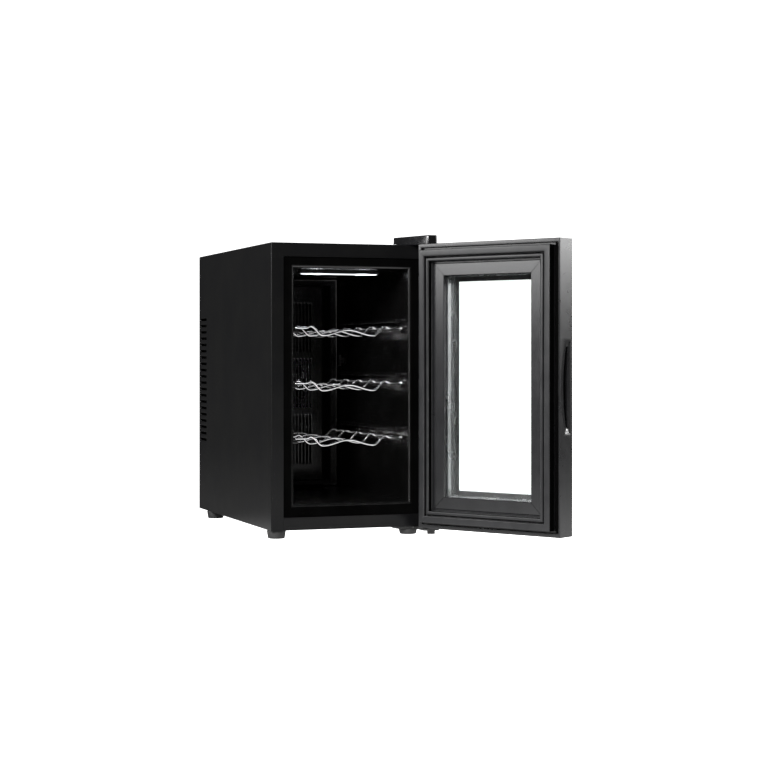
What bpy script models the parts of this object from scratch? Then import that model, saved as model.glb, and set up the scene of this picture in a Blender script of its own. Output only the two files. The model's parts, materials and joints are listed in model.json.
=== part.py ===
"""Thermoelectric wine cooler for eight bottles, with its glass door standing open.

Metres, +Z up. +X is the right-hand side seen from the front and +Y runs into the cabinet.
The origin is the centre of the base plate's underside. Door pieces are laid out where they are
with the door shut, and their parent empty, on the hinge line, swings them open.
"""

import math

import bmesh
import bpy
from mathutils import Matrix, Vector

CLEARANCE = 0.0003  # between pieces that touch

# Cabinet
WIDTH = 0.252
DEPTH = 0.434
HEIGHT = 0.4246
SHEET = 0.001
BEZEL_SIDE = 0.019
BEZEL_BOTTOM = 0.0191
BEZEL_TOP = 0.0204
FRONT = -DEPTH / 2
BACK = DEPTH / 2

# Insulated walls, from the outside of the shell to the inside of the liner
WALL_SIDE = 0.036
WALL_BOTTOM = 0.0383
WALL_TOP = 0.0368
WALL_BACK = 0.032
MACHINE_ROOM = 0.062
LINER_SHEET = 0.002
LINER_FLANGE_MARGIN = 0.003
CAVITY_CORNER = 0.009
CAVITY_HALF = WIDTH / 2 - WALL_SIDE
CAVITY_LOW = WALL_BOTTOM
CAVITY_HIGH = HEIGHT - WALL_TOP
FOAM_BACK = BACK - MACHINE_ROOM
CAVITY_BACK = FOAM_BACK - WALL_BACK
LINER_FRONT = FRONT + SHEET + CLEARANCE
SHELL_INNER_HALF = WIDTH / 2 - SHEET

# Base plate: a rim inside the shell and a field pressed down level with the shell's lower edge
BASE_RIM_LOW = 0.0012
BASE_SHEET = 0.001
BASE_TOP = BASE_RIM_LOW + BASE_SHEET
BASE_FIELD_MARGIN_X = 0.046
BASE_FIELD_MARGIN_Y = 0.067

# Feet
FOOT_HEIGHT = 0.0124
FOOT_TOP_RADIUS = 0.0142
FOOT_BOTTOM_RADIUS = 0.0127
FOOT_STEM_RADIUS = 0.004
FOOT_INSET_X = 0.0132
FOOT_FRONT_Y = 0.018
FOOT_REAR_Y = 0.059
HINGE_FOOT_INSET_X = 0.031

# Side vents, near the back of both side walls
VENT_COUNT = 20
VENT_PITCH = 0.01055
VENT_HEIGHT = 0.0042
VENT_FROM_BACK = 0.009
VENT_LENGTH = 0.040
VENT_MIDDLE_FROM_TOP = 0.207

# Rear cover, set in from the back edge of the shell
REAR_COVER_INSET = 0.0033
REAR_COVER_SHEET = 0.0012
REAR_COVER_INNER = BACK - REAR_COVER_INSET - REAR_COVER_SHEET
REAR_COVER_OUTER = BACK - REAR_COVER_INSET
GRILLE_SLOTS = 14
GRILLE_PITCH = 0.0075
GRILLE_SLOT_HEIGHT = 0.0036
GRILLE_SLOT_LENGTH = 0.043
GRILLE_SLOT_GAP = 0.006
REAR_TAB_LENGTH = 0.014
REAR_TAB_HEIGHT = 0.018
REAR_TAB_SHEET = 0.0015
REAR_SCREW_INSET_X = 0.008
REAR_SCREW_INSET_Z = 0.022

# Screws
SCREW_RADIUS = 0.0019
SCREW_HEAD_RADIUS = 0.0036
SCREW_HEAD_HEIGHT = 0.0022
SCREW_HOLE_RADIUS = SCREW_RADIUS + CLEARANCE

# Power inlet and its socket
INLET_X_FROM_SIDE = 0.046
INLET_Z = 0.045
INLET_WIDTH = 0.027
INLET_HEIGHT = 0.020
INLET_WALL = 0.002
INLET_DEPTH = 0.018
INLET_FLANGE_LIP = 0.004
INLET_FLANGE = 0.002

# Cooling unit, in line behind the liner's back wall
COOLER_Z = 0.213
BLOCK_SIDE = 0.040
PELTIER_SIDE = 0.040
PELTIER_THICKNESS = 0.0038
HOT_SINK_SIDE = 0.100
HOT_SINK_BASE = 0.005
HOT_FAN_SIDE = 0.092
HOT_FAN_DEPTH = 0.020
HOT_FAN_REAR_GAP = 0.0078
COLD_BOX_DEPTH = 0.040
COLD_BOX_HALF = 0.067
COLD_BOX_TOP_DROP = 0.0138
COLD_BOX_BOTTOM_RISE = 0.012
COLD_BOX_WALL = 0.002
COLD_BOX_SLOPE = 0.019
COLD_SINK_WIDTH = 0.100
COLD_SINK_HEIGHT = 0.100
COLD_SINK_BASE = 0.005
COLD_FAN_SIDE = 0.070
COLD_FAN_DEPTH = 0.015
FIN_COUNT = 12
FIN_THICKNESS = 0.0015
COLD_SLOT_COLUMNS = 11
COLD_SLOT_PITCH = 0.0058
COLD_SLOT_WIDTH = 0.0026
COLD_SLOT_ROWS = 3
COLD_SLOT_MARGIN = 0.02985
COLD_SLOT_ROW_GAP = 0.012

# Fans
FAN_TIP_GAP = 0.0012
FAN_RIM_WALL = 0.003
FAN_BASE = 0.002
FAN_SHAFT_RADIUS = 0.002
FAN_HUB_RADIUS = 0.015
FAN_BLADES = 7
FAN_BLADE_THICKNESS = 0.0014
FAN_BLADE_PITCH = math.radians(38)

# Lamp under the cavity's ceiling
LAMP_FROM_FRONT = 0.064
LAMP_LENGTH = 0.126
LAMP_WIDTH = 0.014
LAMP_HEIGHT = 0.0053
LENS_LENGTH = 0.120
LENS_WIDTH = 0.008
LENS_DROP = 0.0012
LED_BOARD_THICKNESS = 0.001

# Shelves
RACK_NAMES = ("rack_bottom", "rack_middle", "rack_top")
RACK_FIRST = 0.0962  # above the cavity's floor
RACK_PITCH = 0.08245
RACK_WIRE = 0.00175  # radius
RACK_ROD = 0.002  # radius
RACK_SIDE_GAP = 0.0045
RACK_FRONT_GAP = 0.013
RACK_BACK_GAP = 0.008
RACK_WAVES = 5
RACK_FIRST_WAVE = 0.019
RACK_WAVE_PITCH = 0.063
BOTTLE_SPACING = 0.080
WAVE_VALLEY = -0.011
WAVE_MIDDLE = -0.003
WAVE_SHOULDER = 0.0025
WAVE_SHOULDER_X = 0.0195
WAVE_TAB_X = 0.0255
WAVE_STEPS = 3
RIB_DEPTH = 0.0095
RIB_HEIGHT = 0.005
RIB_FRONT = 0.032
LEDGE_RISE = 0.0092

# Door, shut
DOOR_GAP = 0.0123
DOOR_THICKNESS = 0.0333
DOOR_SIDE_MARGIN = 0.0001
DOOR_LOW = 0.0004
DOOR_HIGH = HEIGHT - 0.0002
DOOR_HALF = WIDTH / 2 - DOOR_SIDE_MARGIN
DOOR_INNER = FRONT - DOOR_GAP
DOOR_OUTER = DOOR_INNER - DOOR_THICKNESS
DOOR_OPEN = math.radians(121.4)
FRAME_RING = 0.038
OUTER_GLASS_INSET = 0.003
GLASS = 0.0036
OUTER_GLASS = 0.004
SPACER_OUTER = 0.0072
SPACER_INNER = 0.0083
SPACER_WIDTH = 0.0105
SPACER_MARGIN = 0.001
TRIM_INSET = 0.0305
TRIM_WIDTH = 0.018
TRIM_PROUD = 0.001

# Gasket, as insets from the door's edge and heights above its inner face
GASKET_BASE = (0.0095, 0.028)
GASKET_BULB = (0.010, 0.0195)
GASKET_LIP = (0.0215, 0.027)
GASKET_ROOT = (0.0125, 0.0150)
GASKET_BASE_HEIGHT = 0.003
GASKET_LIP_HEIGHT = 0.0105
GASKET_CLEARANCE = 0.0008
GASKET_ROOT_DEPTH = 0.0044

# Hinges, as offsets from the door's hinge-side edge and inner face
PIVOT_INSET = 0.0115
PIVOT_DEPTH = 0.0165
PIVOT_X = WIDTH / 2 - PIVOT_INSET
PIVOT_Y = DOOR_INNER - PIVOT_DEPTH
PIN_RADIUS = 0.0025
PIN_HEAD_RADIUS = 0.006
PIN_HEAD_HEIGHT = 0.0055
PIN_CAP_RADIUS = 0.004
PIN_CAP_HEIGHT = 0.002
PIN_REACH = 0.010
BUSH_RADIUS = 0.006
BUSH_HEIGHT = 0.012
TOP_PLATE = 0.0025
BOTTOM_PLATE = 0.003
HINGE_COVER_HEIGHT = 0.0135
HINGE_COVER_WALL = 0.0018
HINGE_COVER_CORNER = 0.004
HINGE_BACK_Y = 0.042
HINGE_BACK_HALF = 0.023
HINGE_BACK_X = 0.027
HINGE_NOSE_Y = 0.042
HINGE_NOSE_HALF = 0.0085
HINGE_NOSE_X = 0.0138
ARM_BACK_Y = 0.045
ARM_PLATE_X = 0.054
ARM_SIDE_INSET = 0.002
ARM_WIDTH = 0.025
ARM_STEP_Y = 0.003
ARM_NOSE_Y = 0.040
ARM_CORNER = 0.003

# Handle: a bow-shaped scoop in the free edge, with a deeper finger slot
HANDLE_LENGTH = 0.130
HANDLE_CHORD = 0.0278
HANDLE_BOW = 0.0242
HANDLE_END = 0.0130
HANDLE_RIM_DEPTH = 0.005
HANDLE_SCOOP = 0.0015
SLOT_LENGTH = 0.116
SLOT_CHORD = 0.0255
SLOT_BOW = 0.0117
SLOT_END = 0.0045
SLOT_DEPTH = 0.021
SLOT_WALL = 0.0018
BOW_STEPS = 8

# Touch display behind the outer glass, in the frame's top rail
DISPLAY_INSET = 0.020
DISPLAY_BOARD = (0.090, 0.016, 0.0016)
DISPLAY_SIZE = (0.044, 0.011, 0.0030)

# Power board and temperature sensor
BOARD_SIZE = (0.050, 0.090, 0.0016)
SENSOR_RADIUS = 0.003
SENSOR_LENGTH = 0.018
SENSOR_BASE = (0.004, 0.008, 0.010)
SENSOR_Z = 0.250
SENSOR_FROM_BOX = 0.008


# --- collections, materials and placing -------------------------------------------------------

for leftover in list(bpy.data.objects):
    bpy.data.objects.remove(leftover)

PARTS = bpy.data.collections.new("wine_cooler")
CUTTERS = bpy.data.collections.new("cutters")
bpy.context.scene.collection.children.link(PARTS)
bpy.context.scene.collection.children.link(CUTTERS)


def material(name, colour, roughness, metallic=0.0, alpha=1.0):
    made = bpy.data.materials.new(name)
    made.use_nodes = True
    shader = made.node_tree.nodes["Principled BSDF"]
    shader.inputs["Base Color"].default_value = (*colour, 1.0)
    shader.inputs["Roughness"].default_value = roughness
    shader.inputs["Metallic"].default_value = metallic
    shader.inputs["Alpha"].default_value = alpha
    return made


PAINTED_STEEL = material("painted_steel", (0.012, 0.012, 0.012), 0.38)
LINER_PLASTIC = material("liner_plastic", (0.006, 0.006, 0.006), 0.15)
FOAM = material("foam", (0.75, 0.65, 0.40), 0.9)
BLACK_PLASTIC = material("black_plastic", (0.015, 0.015, 0.015), 0.4)
GLOSS_PLASTIC = material("gloss_plastic", (0.010, 0.010, 0.010), 0.12)
RUBBER = material("rubber", (0.010, 0.010, 0.010), 0.7)
GASKET_RUBBER = material("gasket_rubber", (0.020, 0.020, 0.020), 0.55)
CHROME = material("chrome", (0.80, 0.80, 0.82), 0.08, metallic=1.0)
ALUMINIUM = material("aluminium", (0.70, 0.70, 0.72), 0.35, metallic=1.0)
ZINC_STEEL = material("zinc_steel", (0.55, 0.55, 0.56), 0.35, metallic=1.0)
GLASS_CLEAR = material("glass", (0.85, 0.90, 0.88), 0.02, alpha=0.3)
LAMP_LENS = material("lamp_lens", (0.90, 0.92, 0.95), 0.3)
WHITE_CERAMIC = material("white_ceramic", (0.85, 0.85, 0.85), 0.5)
CIRCUIT_BOARD = material("circuit_board", (0.02, 0.10, 0.04), 0.5)


def behind(distance):
    """Y of a point this far behind the cabinet's front face."""
    return FRONT + distance


def parent_empty(name, position, angle=0.0):
    """An empty on a joint's axis; pieces given it as parent are laid out with the angle at zero."""
    empty = bpy.data.objects.new(name, None)
    empty.location = position
    empty.rotation_euler = (0.0, 0.0, angle)
    PARTS.objects.link(empty)
    return empty


HINGE = parent_empty("door_hinge_line", (PIVOT_X, PIVOT_Y, 0.0), DOOR_OPEN)


def place(item, position, finish, parent=None):
    """Set an object at its place with the door shut, and give it its finish, or make it a cutter."""
    home = Vector(position)
    if parent is not None:
        item.parent = parent
        home = home - parent.location
    item.location = home
    if finish is None:
        CUTTERS.objects.link(item)
        item.hide_render = True
        item.display_type = "WIRE"
    else:
        PARTS.objects.link(item)
        item.data.materials.append(finish)
    return item


def mesh_object(name, shape):
    """Turn a bmesh into an object that is not yet placed."""
    bmesh.ops.recalc_face_normals(shape, faces=shape.faces)
    data = bpy.data.meshes.new(name)
    shape.to_mesh(data)
    shape.free()
    return bpy.data.objects.new(name, data)


# --- basic shapes -----------------------------------------------------------------------------


def boxes(name, spans, finish=None, parent=None):
    """One object of separate boxes, each given by its lowest and highest corner."""
    shape = bmesh.new()
    origin = (Vector(spans[0][0]) + Vector(spans[0][1])) / 2
    for low, high in spans:
        low, high = Vector(low), Vector(high)
        made = bmesh.ops.create_cube(shape, size=1.0)["verts"]
        bmesh.ops.scale(shape, vec=high - low, verts=made)
        bmesh.ops.translate(shape, vec=(low + high) / 2 - origin, verts=made)
    return place(mesh_object(name, shape), origin, finish, parent)


def box(name, low, high, finish=None, parent=None):
    """One box given by its lowest and highest corner."""
    return boxes(name, [(low, high)], finish, parent)


def turned(name, profile, position, finish=None, parent=None, turn=(0.0, 0.0, 0.0), steps=16):
    """A turned piece: its profile of (radius, height) points runs down the outer side.

    A profile whose last point is not on the axis is closed into a loop and makes a ring.
    """
    data = bpy.data.meshes.new(name)
    links = [(i, i + 1) for i in range(len(profile) - 1)]
    if profile[-1][0] > 0:
        links.append((len(profile) - 1, 0))
    data.from_pydata([(radius, 0.0, height) for radius, height in profile], links, [])
    item = place(bpy.data.objects.new(name, data), position, finish, parent)
    item.rotation_euler = turn
    spin = item.modifiers.new("turn", "SCREW")
    spin.steps = steps
    spin.render_steps = steps
    spin.use_merge_vertices = True
    spin.merge_threshold = 0.00001
    return item


def rod(name, radius, low, high, position, finish=None, parent=None, turn=(0.0, 0.0, 0.0), steps=16):
    """A solid round bar along its own Z between two heights."""
    profile = [(0.0, high), (radius, high), (radius, low), (0.0, low)]
    return turned(name, profile, position, finish, parent, turn, steps)


def mesh_from_curve(name, curve):
    """Evaluate a curve and weld its caps, giving an object that is not yet placed."""
    drawn = bpy.data.objects.new(name + "_curve", curve)
    bpy.context.scene.collection.objects.link(drawn)
    seen = bpy.context.evaluated_depsgraph_get()
    data = bpy.data.meshes.new_from_object(drawn.evaluated_get(seen))
    shape = bmesh.new()
    shape.from_mesh(data)
    bmesh.ops.remove_doubles(shape, verts=shape.verts, dist=0.00001)
    bpy.data.objects.remove(drawn)
    bpy.data.meshes.remove(data)
    return mesh_object(name, shape)


PLATE_TURNS = {
    "X": (math.pi / 2, 0.0, math.pi / 2),
    "Y": (math.pi / 2, 0.0, 0.0),
    "Z": (0.0, 0.0, 0.0),
}


def plate(name, outlines, normal, low, high, finish=None, parent=None):
    """A flat plate between two values along its normal; outlines after the first are holes.

    Outline points are (y, z), (x, z) or (x, y) for a normal of X, Y or Z.
    """
    curve = bpy.data.curves.new(name, "CURVE")
    curve.dimensions = "2D"
    curve.fill_mode = "BOTH"
    curve.extrude = (high - low) / 2
    middle = Vector((sum(p[0] for p in outlines[0]), sum(p[1] for p in outlines[0]))) / len(outlines[0])
    for outline in outlines:
        spline = curve.splines.new("POLY")
        spline.points.add(len(outline) - 1)
        spline.use_cyclic_u = True
        for point, (u, v) in zip(spline.points, outline):
            point.co = (u - middle[0], v - middle[1], 0.0, 1.0)
    item = mesh_from_curve(name, curve)
    level = (low + high) / 2
    centre = {
        "X": (level, middle[0], middle[1]),
        "Y": (middle[0], level, middle[1]),
        "Z": (middle[0], middle[1], level),
    }[normal]
    item.rotation_euler = PLATE_TURNS[normal]
    return place(item, centre, finish, parent)


def rectangle(low, high):
    """Corner points of a rectangle."""
    return [(low[0], low[1]), (high[0], low[1]), (high[0], high[1]), (low[0], high[1])]


def circle(centre, radius, steps=16):
    """Points around a circle."""
    angles = [2 * math.pi * i / steps for i in range(steps)]
    return [(centre[0] + radius * math.cos(a), centre[1] + radius * math.sin(a)) for a in angles]


def rounded(corners, radius, steps=3):
    """An outline with each corner turned by an arc of the given radius."""
    points = []
    for i, corner in enumerate(corners):
        here = Vector(corner)
        back = (Vector(corners[i - 1]) - here).normalized()
        ahead = (Vector(corners[(i + 1) % len(corners)]) - here).normalized()
        half = back.angle(ahead) / 2
        middle = here + (back + ahead).normalized() * radius / math.sin(half)
        start = here + back * radius / math.tan(half) - middle
        end = here + ahead * radius / math.tan(half) - middle
        sweep = start.angle_signed(end)
        for step in range(steps + 1):
            points.append(tuple(middle + Matrix.Rotation(-sweep * step / steps, 2) @ start))
    return points


def ring(inset_outer, inset_inner):
    """Outer and inner outline of a door ring, as insets from the door's edge."""
    return [inset_rectangle(inset_outer), inset_rectangle(inset_inner)]


def inset_rectangle(inset):
    """A rectangle in the door's plane, this far in from the door's edge."""
    return rectangle((-DOOR_HALF + inset, DOOR_LOW + inset), (DOOR_HALF - inset, DOOR_HIGH - inset))


def cut(item, cutter):
    """Take the cutter out of the piece."""
    change = item.modifiers.new("cut", "BOOLEAN")
    change.operation = "DIFFERENCE"
    change.object = cutter
    return item


def join(item, other):
    """Make the other shape part of the piece."""
    change = item.modifiers.new("join", "BOOLEAN")
    change.operation = "UNION"
    change.object = other
    return item


# --- cabinet ----------------------------------------------------------------------------------

VENT_MIDDLE = HEIGHT - VENT_MIDDLE_FROM_TOP
REAR_SCREWS = [
    (side * (SHELL_INNER_HALF - REAR_SCREW_INSET_X), z)
    for side in (-1, 1)
    for z in (REAR_SCREW_INSET_Z, HEIGHT - REAR_SCREW_INSET_Z)
]
TOP_SCREWS = [
    (WIDTH / 2 - HINGE_BACK_X + dx, behind(dy)) for dx, dy in ((-0.010, 0.032), (0.012, 0.020))
]
BOTTOM_SCREWS = [(WIDTH / 2 - dx, behind(dy)) for dx, dy in ((0.046, 0.037), (0.011, 0.034))]
TURN_TO_BACK = (-math.pi / 2, 0.0, 0.0)
TURN_DOWN = (math.pi, 0.0, 0.0)
HINGE_FOOT = "foot_front_right"
FEET = {
    "foot_front_left": (-WIDTH / 2 + FOOT_INSET_X, behind(FOOT_FRONT_Y)),
    "foot_front_right": (WIDTH / 2 - HINGE_FOOT_INSET_X, behind(FOOT_FRONT_Y)),
    "foot_rear_left": (-WIDTH / 2 + FOOT_INSET_X, BACK - FOOT_REAR_Y),
    "foot_rear_right": (WIDTH / 2 - FOOT_INSET_X, BACK - FOOT_REAR_Y),
}


def outer_shell():
    """Painted steel wrap: sides, top and the front flange, open at the back and below."""
    half = WIDTH / 2
    shell = box("outer_shell", (-half, FRONT, 0.0), (half, BACK, HEIGHT), PAINTED_STEEL)
    inner_low = (-SHELL_INNER_HALF, FRONT + SHEET, -SHEET)
    inner_high = (SHELL_INNER_HALF, BACK + SHEET, HEIGHT - SHEET)
    cut(shell, box("shell_inside", inner_low, inner_high))
    opening_low = (-half + BEZEL_SIDE, FRONT - SHEET, BEZEL_BOTTOM)
    opening_high = (half - BEZEL_SIDE, FRONT + 2 * SHEET, HEIGHT - BEZEL_TOP)
    cut(shell, box("shell_opening", opening_low, opening_high))
    vent_back = BACK - VENT_FROM_BACK
    vents = []
    for i in range(VENT_COUNT):
        middle = VENT_MIDDLE + (i - (VENT_COUNT - 1) / 2) * VENT_PITCH
        low = (-half - SHEET, vent_back - VENT_LENGTH, middle - VENT_HEIGHT / 2)
        high = (half + SHEET, vent_back, middle + VENT_HEIGHT / 2)
        vents.append((low, high))
    cut(shell, boxes("shell_vents", vents))
    tab_back = REAR_COVER_INNER - CLEARANCE
    tabs = []
    for x, z in REAR_SCREWS:
        edge = math.copysign(SHELL_INNER_HALF + SHEET / 2, x)
        tip = math.copysign(SHELL_INNER_HALF - REAR_TAB_LENGTH, x)
        low = (min(edge, tip), tab_back - REAR_TAB_SHEET, z - REAR_TAB_HEIGHT / 2)
        high = (max(edge, tip), tab_back, z + REAR_TAB_HEIGHT / 2)
        tabs.append((low, high))
    join(shell, boxes("shell_rear_tabs", tabs))
    for i, (x, z) in enumerate(REAR_SCREWS):
        hole = (x, tab_back, z)
        cut(shell, rod(f"tab_hole_{i}", SCREW_HOLE_RADIUS, -0.005, 0.005, hole, turn=TURN_TO_BACK))
    for i, (x, y) in enumerate(TOP_SCREWS):
        cut(shell, rod(f"top_hole_{i}", SCREW_HOLE_RADIUS, -0.005, 0.005, (x, y, HEIGHT)))


def base_plate():
    """Steel base with a field pressed down flush, and holes for feet and hinge screws."""
    half = SHELL_INNER_HALF - CLEARANCE
    front = FRONT + SHEET + CLEARANCE
    stems = [place_xy for name, place_xy in FEET.items() if name != HINGE_FOOT]
    holes = [circle(stem, FOOT_STEM_RADIUS + CLEARANCE) for stem in stems]
    holes += [circle(screw, SCREW_HOLE_RADIUS) for screw in BOTTOM_SCREWS]
    outline = rectangle((-half, front), (half, REAR_COVER_INNER - CLEARANCE))
    base = plate("base_plate", [outline, *holes], "Z", BASE_RIM_LOW, BASE_TOP, ZINC_STEEL)
    field_x = WIDTH / 2 - BASE_FIELD_MARGIN_X
    field_y = DEPTH / 2 - BASE_FIELD_MARGIN_Y
    field_top = BASE_TOP - BASE_SHEET / 2
    join(base, box("base_field", (-field_x, -field_y, 0.0), (field_x, field_y, field_top)))
    inner_x = field_x - BASE_SHEET
    inner_y = field_y - BASE_SHEET
    pocket_low = (-inner_x, -inner_y, BASE_SHEET)
    cut(base, box("base_pocket", pocket_low, (inner_x, inner_y, BASE_TOP + BASE_SHEET)))


def feet():
    """Tapered rubber feet; the one beside the hinge stands on the hinge plate and has no stem."""
    for name, (x, y) in FEET.items():
        if name == HINGE_FOOT:
            top = -BOTTOM_PLATE - 2 * CLEARANCE
            stem = []
        else:
            top = -CLEARANCE
            stem_top = BASE_TOP - CLEARANCE
            stem = [(0.0, stem_top), (FOOT_STEM_RADIUS, stem_top), (FOOT_STEM_RADIUS, top)]
        body = [(FOOT_TOP_RADIUS, top), (FOOT_BOTTOM_RADIUS, -FOOT_HEIGHT), (0.0, -FOOT_HEIGHT)]
        start = stem or [(0.0, top)]
        turned(name, start + body, (x, y, 0.0), RUBBER)


def inner_liner():
    """Black plastic cavity with its front flange, runner ribs and a hole for the cold block."""
    flange_half = SHELL_INNER_HALF - LINER_FLANGE_MARGIN
    flange_low = BASE_TOP + LINER_FLANGE_MARGIN
    flange_high = HEIGHT - SHEET - LINER_FLANGE_MARGIN
    flange = rectangle((-flange_half, flange_low), (flange_half, flange_high))
    liner = plate("inner_liner", [flange], "Y", LINER_FRONT, LINER_FRONT + LINER_SHEET, LINER_PLASTIC)
    outer_half = CAVITY_HALF + LINER_SHEET
    tub_low = (-outer_half, CAVITY_LOW - LINER_SHEET)
    tub_high = (outer_half, CAVITY_HIGH + LINER_SHEET)
    tub = rounded(rectangle(tub_low, tub_high), CAVITY_CORNER + LINER_SHEET)
    tub_front = LINER_FRONT + LINER_SHEET / 2
    join(liner, plate("liner_tub", [tub], "Y", tub_front, CAVITY_BACK + LINER_SHEET))
    hollow = rounded(rectangle((-CAVITY_HALF, CAVITY_LOW), (CAVITY_HALF, CAVITY_HIGH)), CAVITY_CORNER)
    cut(liner, plate("liner_hollow", [hollow], "Y", FRONT - SHEET, CAVITY_BACK))
    hole = BLOCK_SIDE / 2 + CLEARANCE
    hole_low = (-hole, CAVITY_BACK - LINER_SHEET, COOLER_Z - hole)
    cut(liner, box("liner_block_hole", hole_low, (hole, FOAM_BACK, COOLER_Z + hole)))
    join(liner, boxes("liner_ribs", rib_spans()))


def rib_spans():
    """Runner rib under each rack's side rod, and the ledge above it, on both walls."""
    spans = []
    y_low = behind(RIB_FRONT)
    y_high = CAVITY_BACK - COLD_BOX_DEPTH + CLEARANCE
    for i in range(len(RACK_NAMES)):
        level = rack_level(i)
        runner_top = level - RACK_ROD - CLEARANCE
        ledge_low = level + LEDGE_RISE
        for z_low in (runner_top - RIB_HEIGHT, ledge_low):
            for side in (-1, 1):
                wall = side * (CAVITY_HALF + LINER_SHEET / 2)
                tip = side * (CAVITY_HALF - RIB_DEPTH)
                low = (min(wall, tip), y_low if z_low == ledge_low else behind(RACK_FRONT_GAP), z_low)
                high = (max(wall, tip), y_high, z_low + RIB_HEIGHT)
                spans.append((low, high))
    return spans


def foam_insulation():
    """Rigid foam between the shell and the liner, open at the front, pierced for the cold block."""
    half = SHELL_INNER_HALF - CLEARANCE
    front = LINER_FRONT + LINER_SHEET + CLEARANCE
    foam_low = (-half, front, BASE_TOP + CLEARANCE)
    foam_high = (half, FOAM_BACK, HEIGHT - SHEET - CLEARANCE)
    foam = box("foam_insulation", foam_low, foam_high, FOAM)
    room = LINER_SHEET + CLEARANCE
    hollow_low = (-CAVITY_HALF - room, front - SHEET, CAVITY_LOW - room)
    hollow_high = (CAVITY_HALF + room, CAVITY_BACK + room, CAVITY_HIGH + room)
    cut(foam, box("foam_hollow", hollow_low, hollow_high))
    hole = BLOCK_SIDE / 2 + CLEARANCE
    hole_low = (-hole, CAVITY_BACK, COOLER_Z - hole)
    cut(foam, box("foam_block_hole", hole_low, (hole, BACK, COOLER_Z + hole)))


def grille_slots():
    """Two columns of level slots in front of the hot fan."""
    outlines = []
    for i in range(GRILLE_SLOTS):
        z = COOLER_Z + (i - (GRILLE_SLOTS - 1) / 2) * GRILLE_PITCH
        for side in (-1, 1):
            near = side * GRILLE_SLOT_GAP / 2
            far = near + side * GRILLE_SLOT_LENGTH
            low = (min(near, far), z - GRILLE_SLOT_HEIGHT / 2)
            high = (max(near, far), z + GRILLE_SLOT_HEIGHT / 2)
            outlines.append(rectangle(low, high))
    return outlines


INLET_X = -WIDTH / 2 + INLET_X_FROM_SIDE


def rear_cover():
    """Steel back panel with the fan grille, the inlet's cut-out and four screw holes."""
    half = SHELL_INNER_HALF - CLEARANCE
    outline = rectangle((-half, BASE_TOP + CLEARANCE), (half, HEIGHT - SHEET - CLEARANCE))
    inlet_half = INLET_WIDTH / 2 + CLEARANCE
    inlet_rise = INLET_HEIGHT / 2 + CLEARANCE
    inlet_low = (INLET_X - inlet_half, INLET_Z - inlet_rise)
    inlet = rectangle(inlet_low, (INLET_X + inlet_half, INLET_Z + inlet_rise))
    screws = [circle(screw, SCREW_HOLE_RADIUS) for screw in REAR_SCREWS]
    outlines = [outline, inlet, *grille_slots(), *screws]
    plate("rear_cover", outlines, "Y", REAR_COVER_INNER, REAR_COVER_OUTER, PAINTED_STEEL)


def power_inlet():
    """Mains inlet: a flanged plastic socket, open to the back."""
    flange_front = REAR_COVER_OUTER + CLEARANCE
    flange_back = flange_front + INLET_FLANGE
    body_low = (INLET_X - INLET_WIDTH / 2, flange_front - INLET_DEPTH, INLET_Z - INLET_HEIGHT / 2)
    body_high = (INLET_X + INLET_WIDTH / 2, flange_front + INLET_FLANGE / 2, INLET_Z + INLET_HEIGHT / 2)
    lip_x = INLET_WIDTH / 2 + INLET_FLANGE_LIP
    lip_z = INLET_HEIGHT / 2 + INLET_FLANGE_LIP
    flange_low = (INLET_X - lip_x, flange_front, INLET_Z - lip_z)
    flange_high = (INLET_X + lip_x, flange_back, INLET_Z + lip_z)
    inlet = box("power_inlet", flange_low, flange_high, BLACK_PLASTIC)
    join(inlet, box("inlet_body", body_low, body_high))
    socket_low = (body_low[0] + INLET_WALL, body_low[1] + INLET_WALL, body_low[2] + INLET_WALL)
    socket_high = (body_high[0] - INLET_WALL, flange_back + INLET_WALL, body_high[2] - INLET_WALL)
    cut(inlet, box("inlet_socket", socket_low, socket_high))


def screw(name, position, turn, shank):
    """A pan-head screw; its shank runs along its own -Z from the underside of the head."""
    profile = [
        (0.0, SCREW_HEAD_HEIGHT),
        (SCREW_HEAD_RADIUS * 0.7, SCREW_HEAD_HEIGHT),
        (SCREW_HEAD_RADIUS, SCREW_HEAD_HEIGHT / 2),
        (SCREW_HEAD_RADIUS, 0.0),
        (SCREW_RADIUS, 0.0),
        (SCREW_RADIUS, -shank),
        (0.0, -shank),
    ]
    turned(name, profile, position, ZINC_STEEL, turn=turn, steps=12)


def cabinet_screws():
    """Rear cover screws, and the screws of both hinge brackets."""
    for i, (x, z) in enumerate(REAR_SCREWS, start=1):
        screw(f"rear_screw_{i}", (x, REAR_COVER_OUTER + CLEARANCE, z), TURN_TO_BACK, 0.006)
    plate_top = HEIGHT + 2 * CLEARANCE + TOP_PLATE
    for i, (x, y) in enumerate(TOP_SCREWS, start=1):
        screw(f"top_hinge_screw_{i}", (x, y, plate_top), (0.0, 0.0, 0.0), TOP_PLATE + SHEET + CLEARANCE)
    plate_low = -BOTTOM_PLATE - 2 * CLEARANCE
    for i, (x, y) in enumerate(BOTTOM_SCREWS, start=1):
        screw(f"bottom_hinge_screw_{i}", (x, y, plate_low), TURN_DOWN, BOTTOM_PLATE + BASE_TOP)


# --- cooling unit -----------------------------------------------------------------------------

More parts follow.
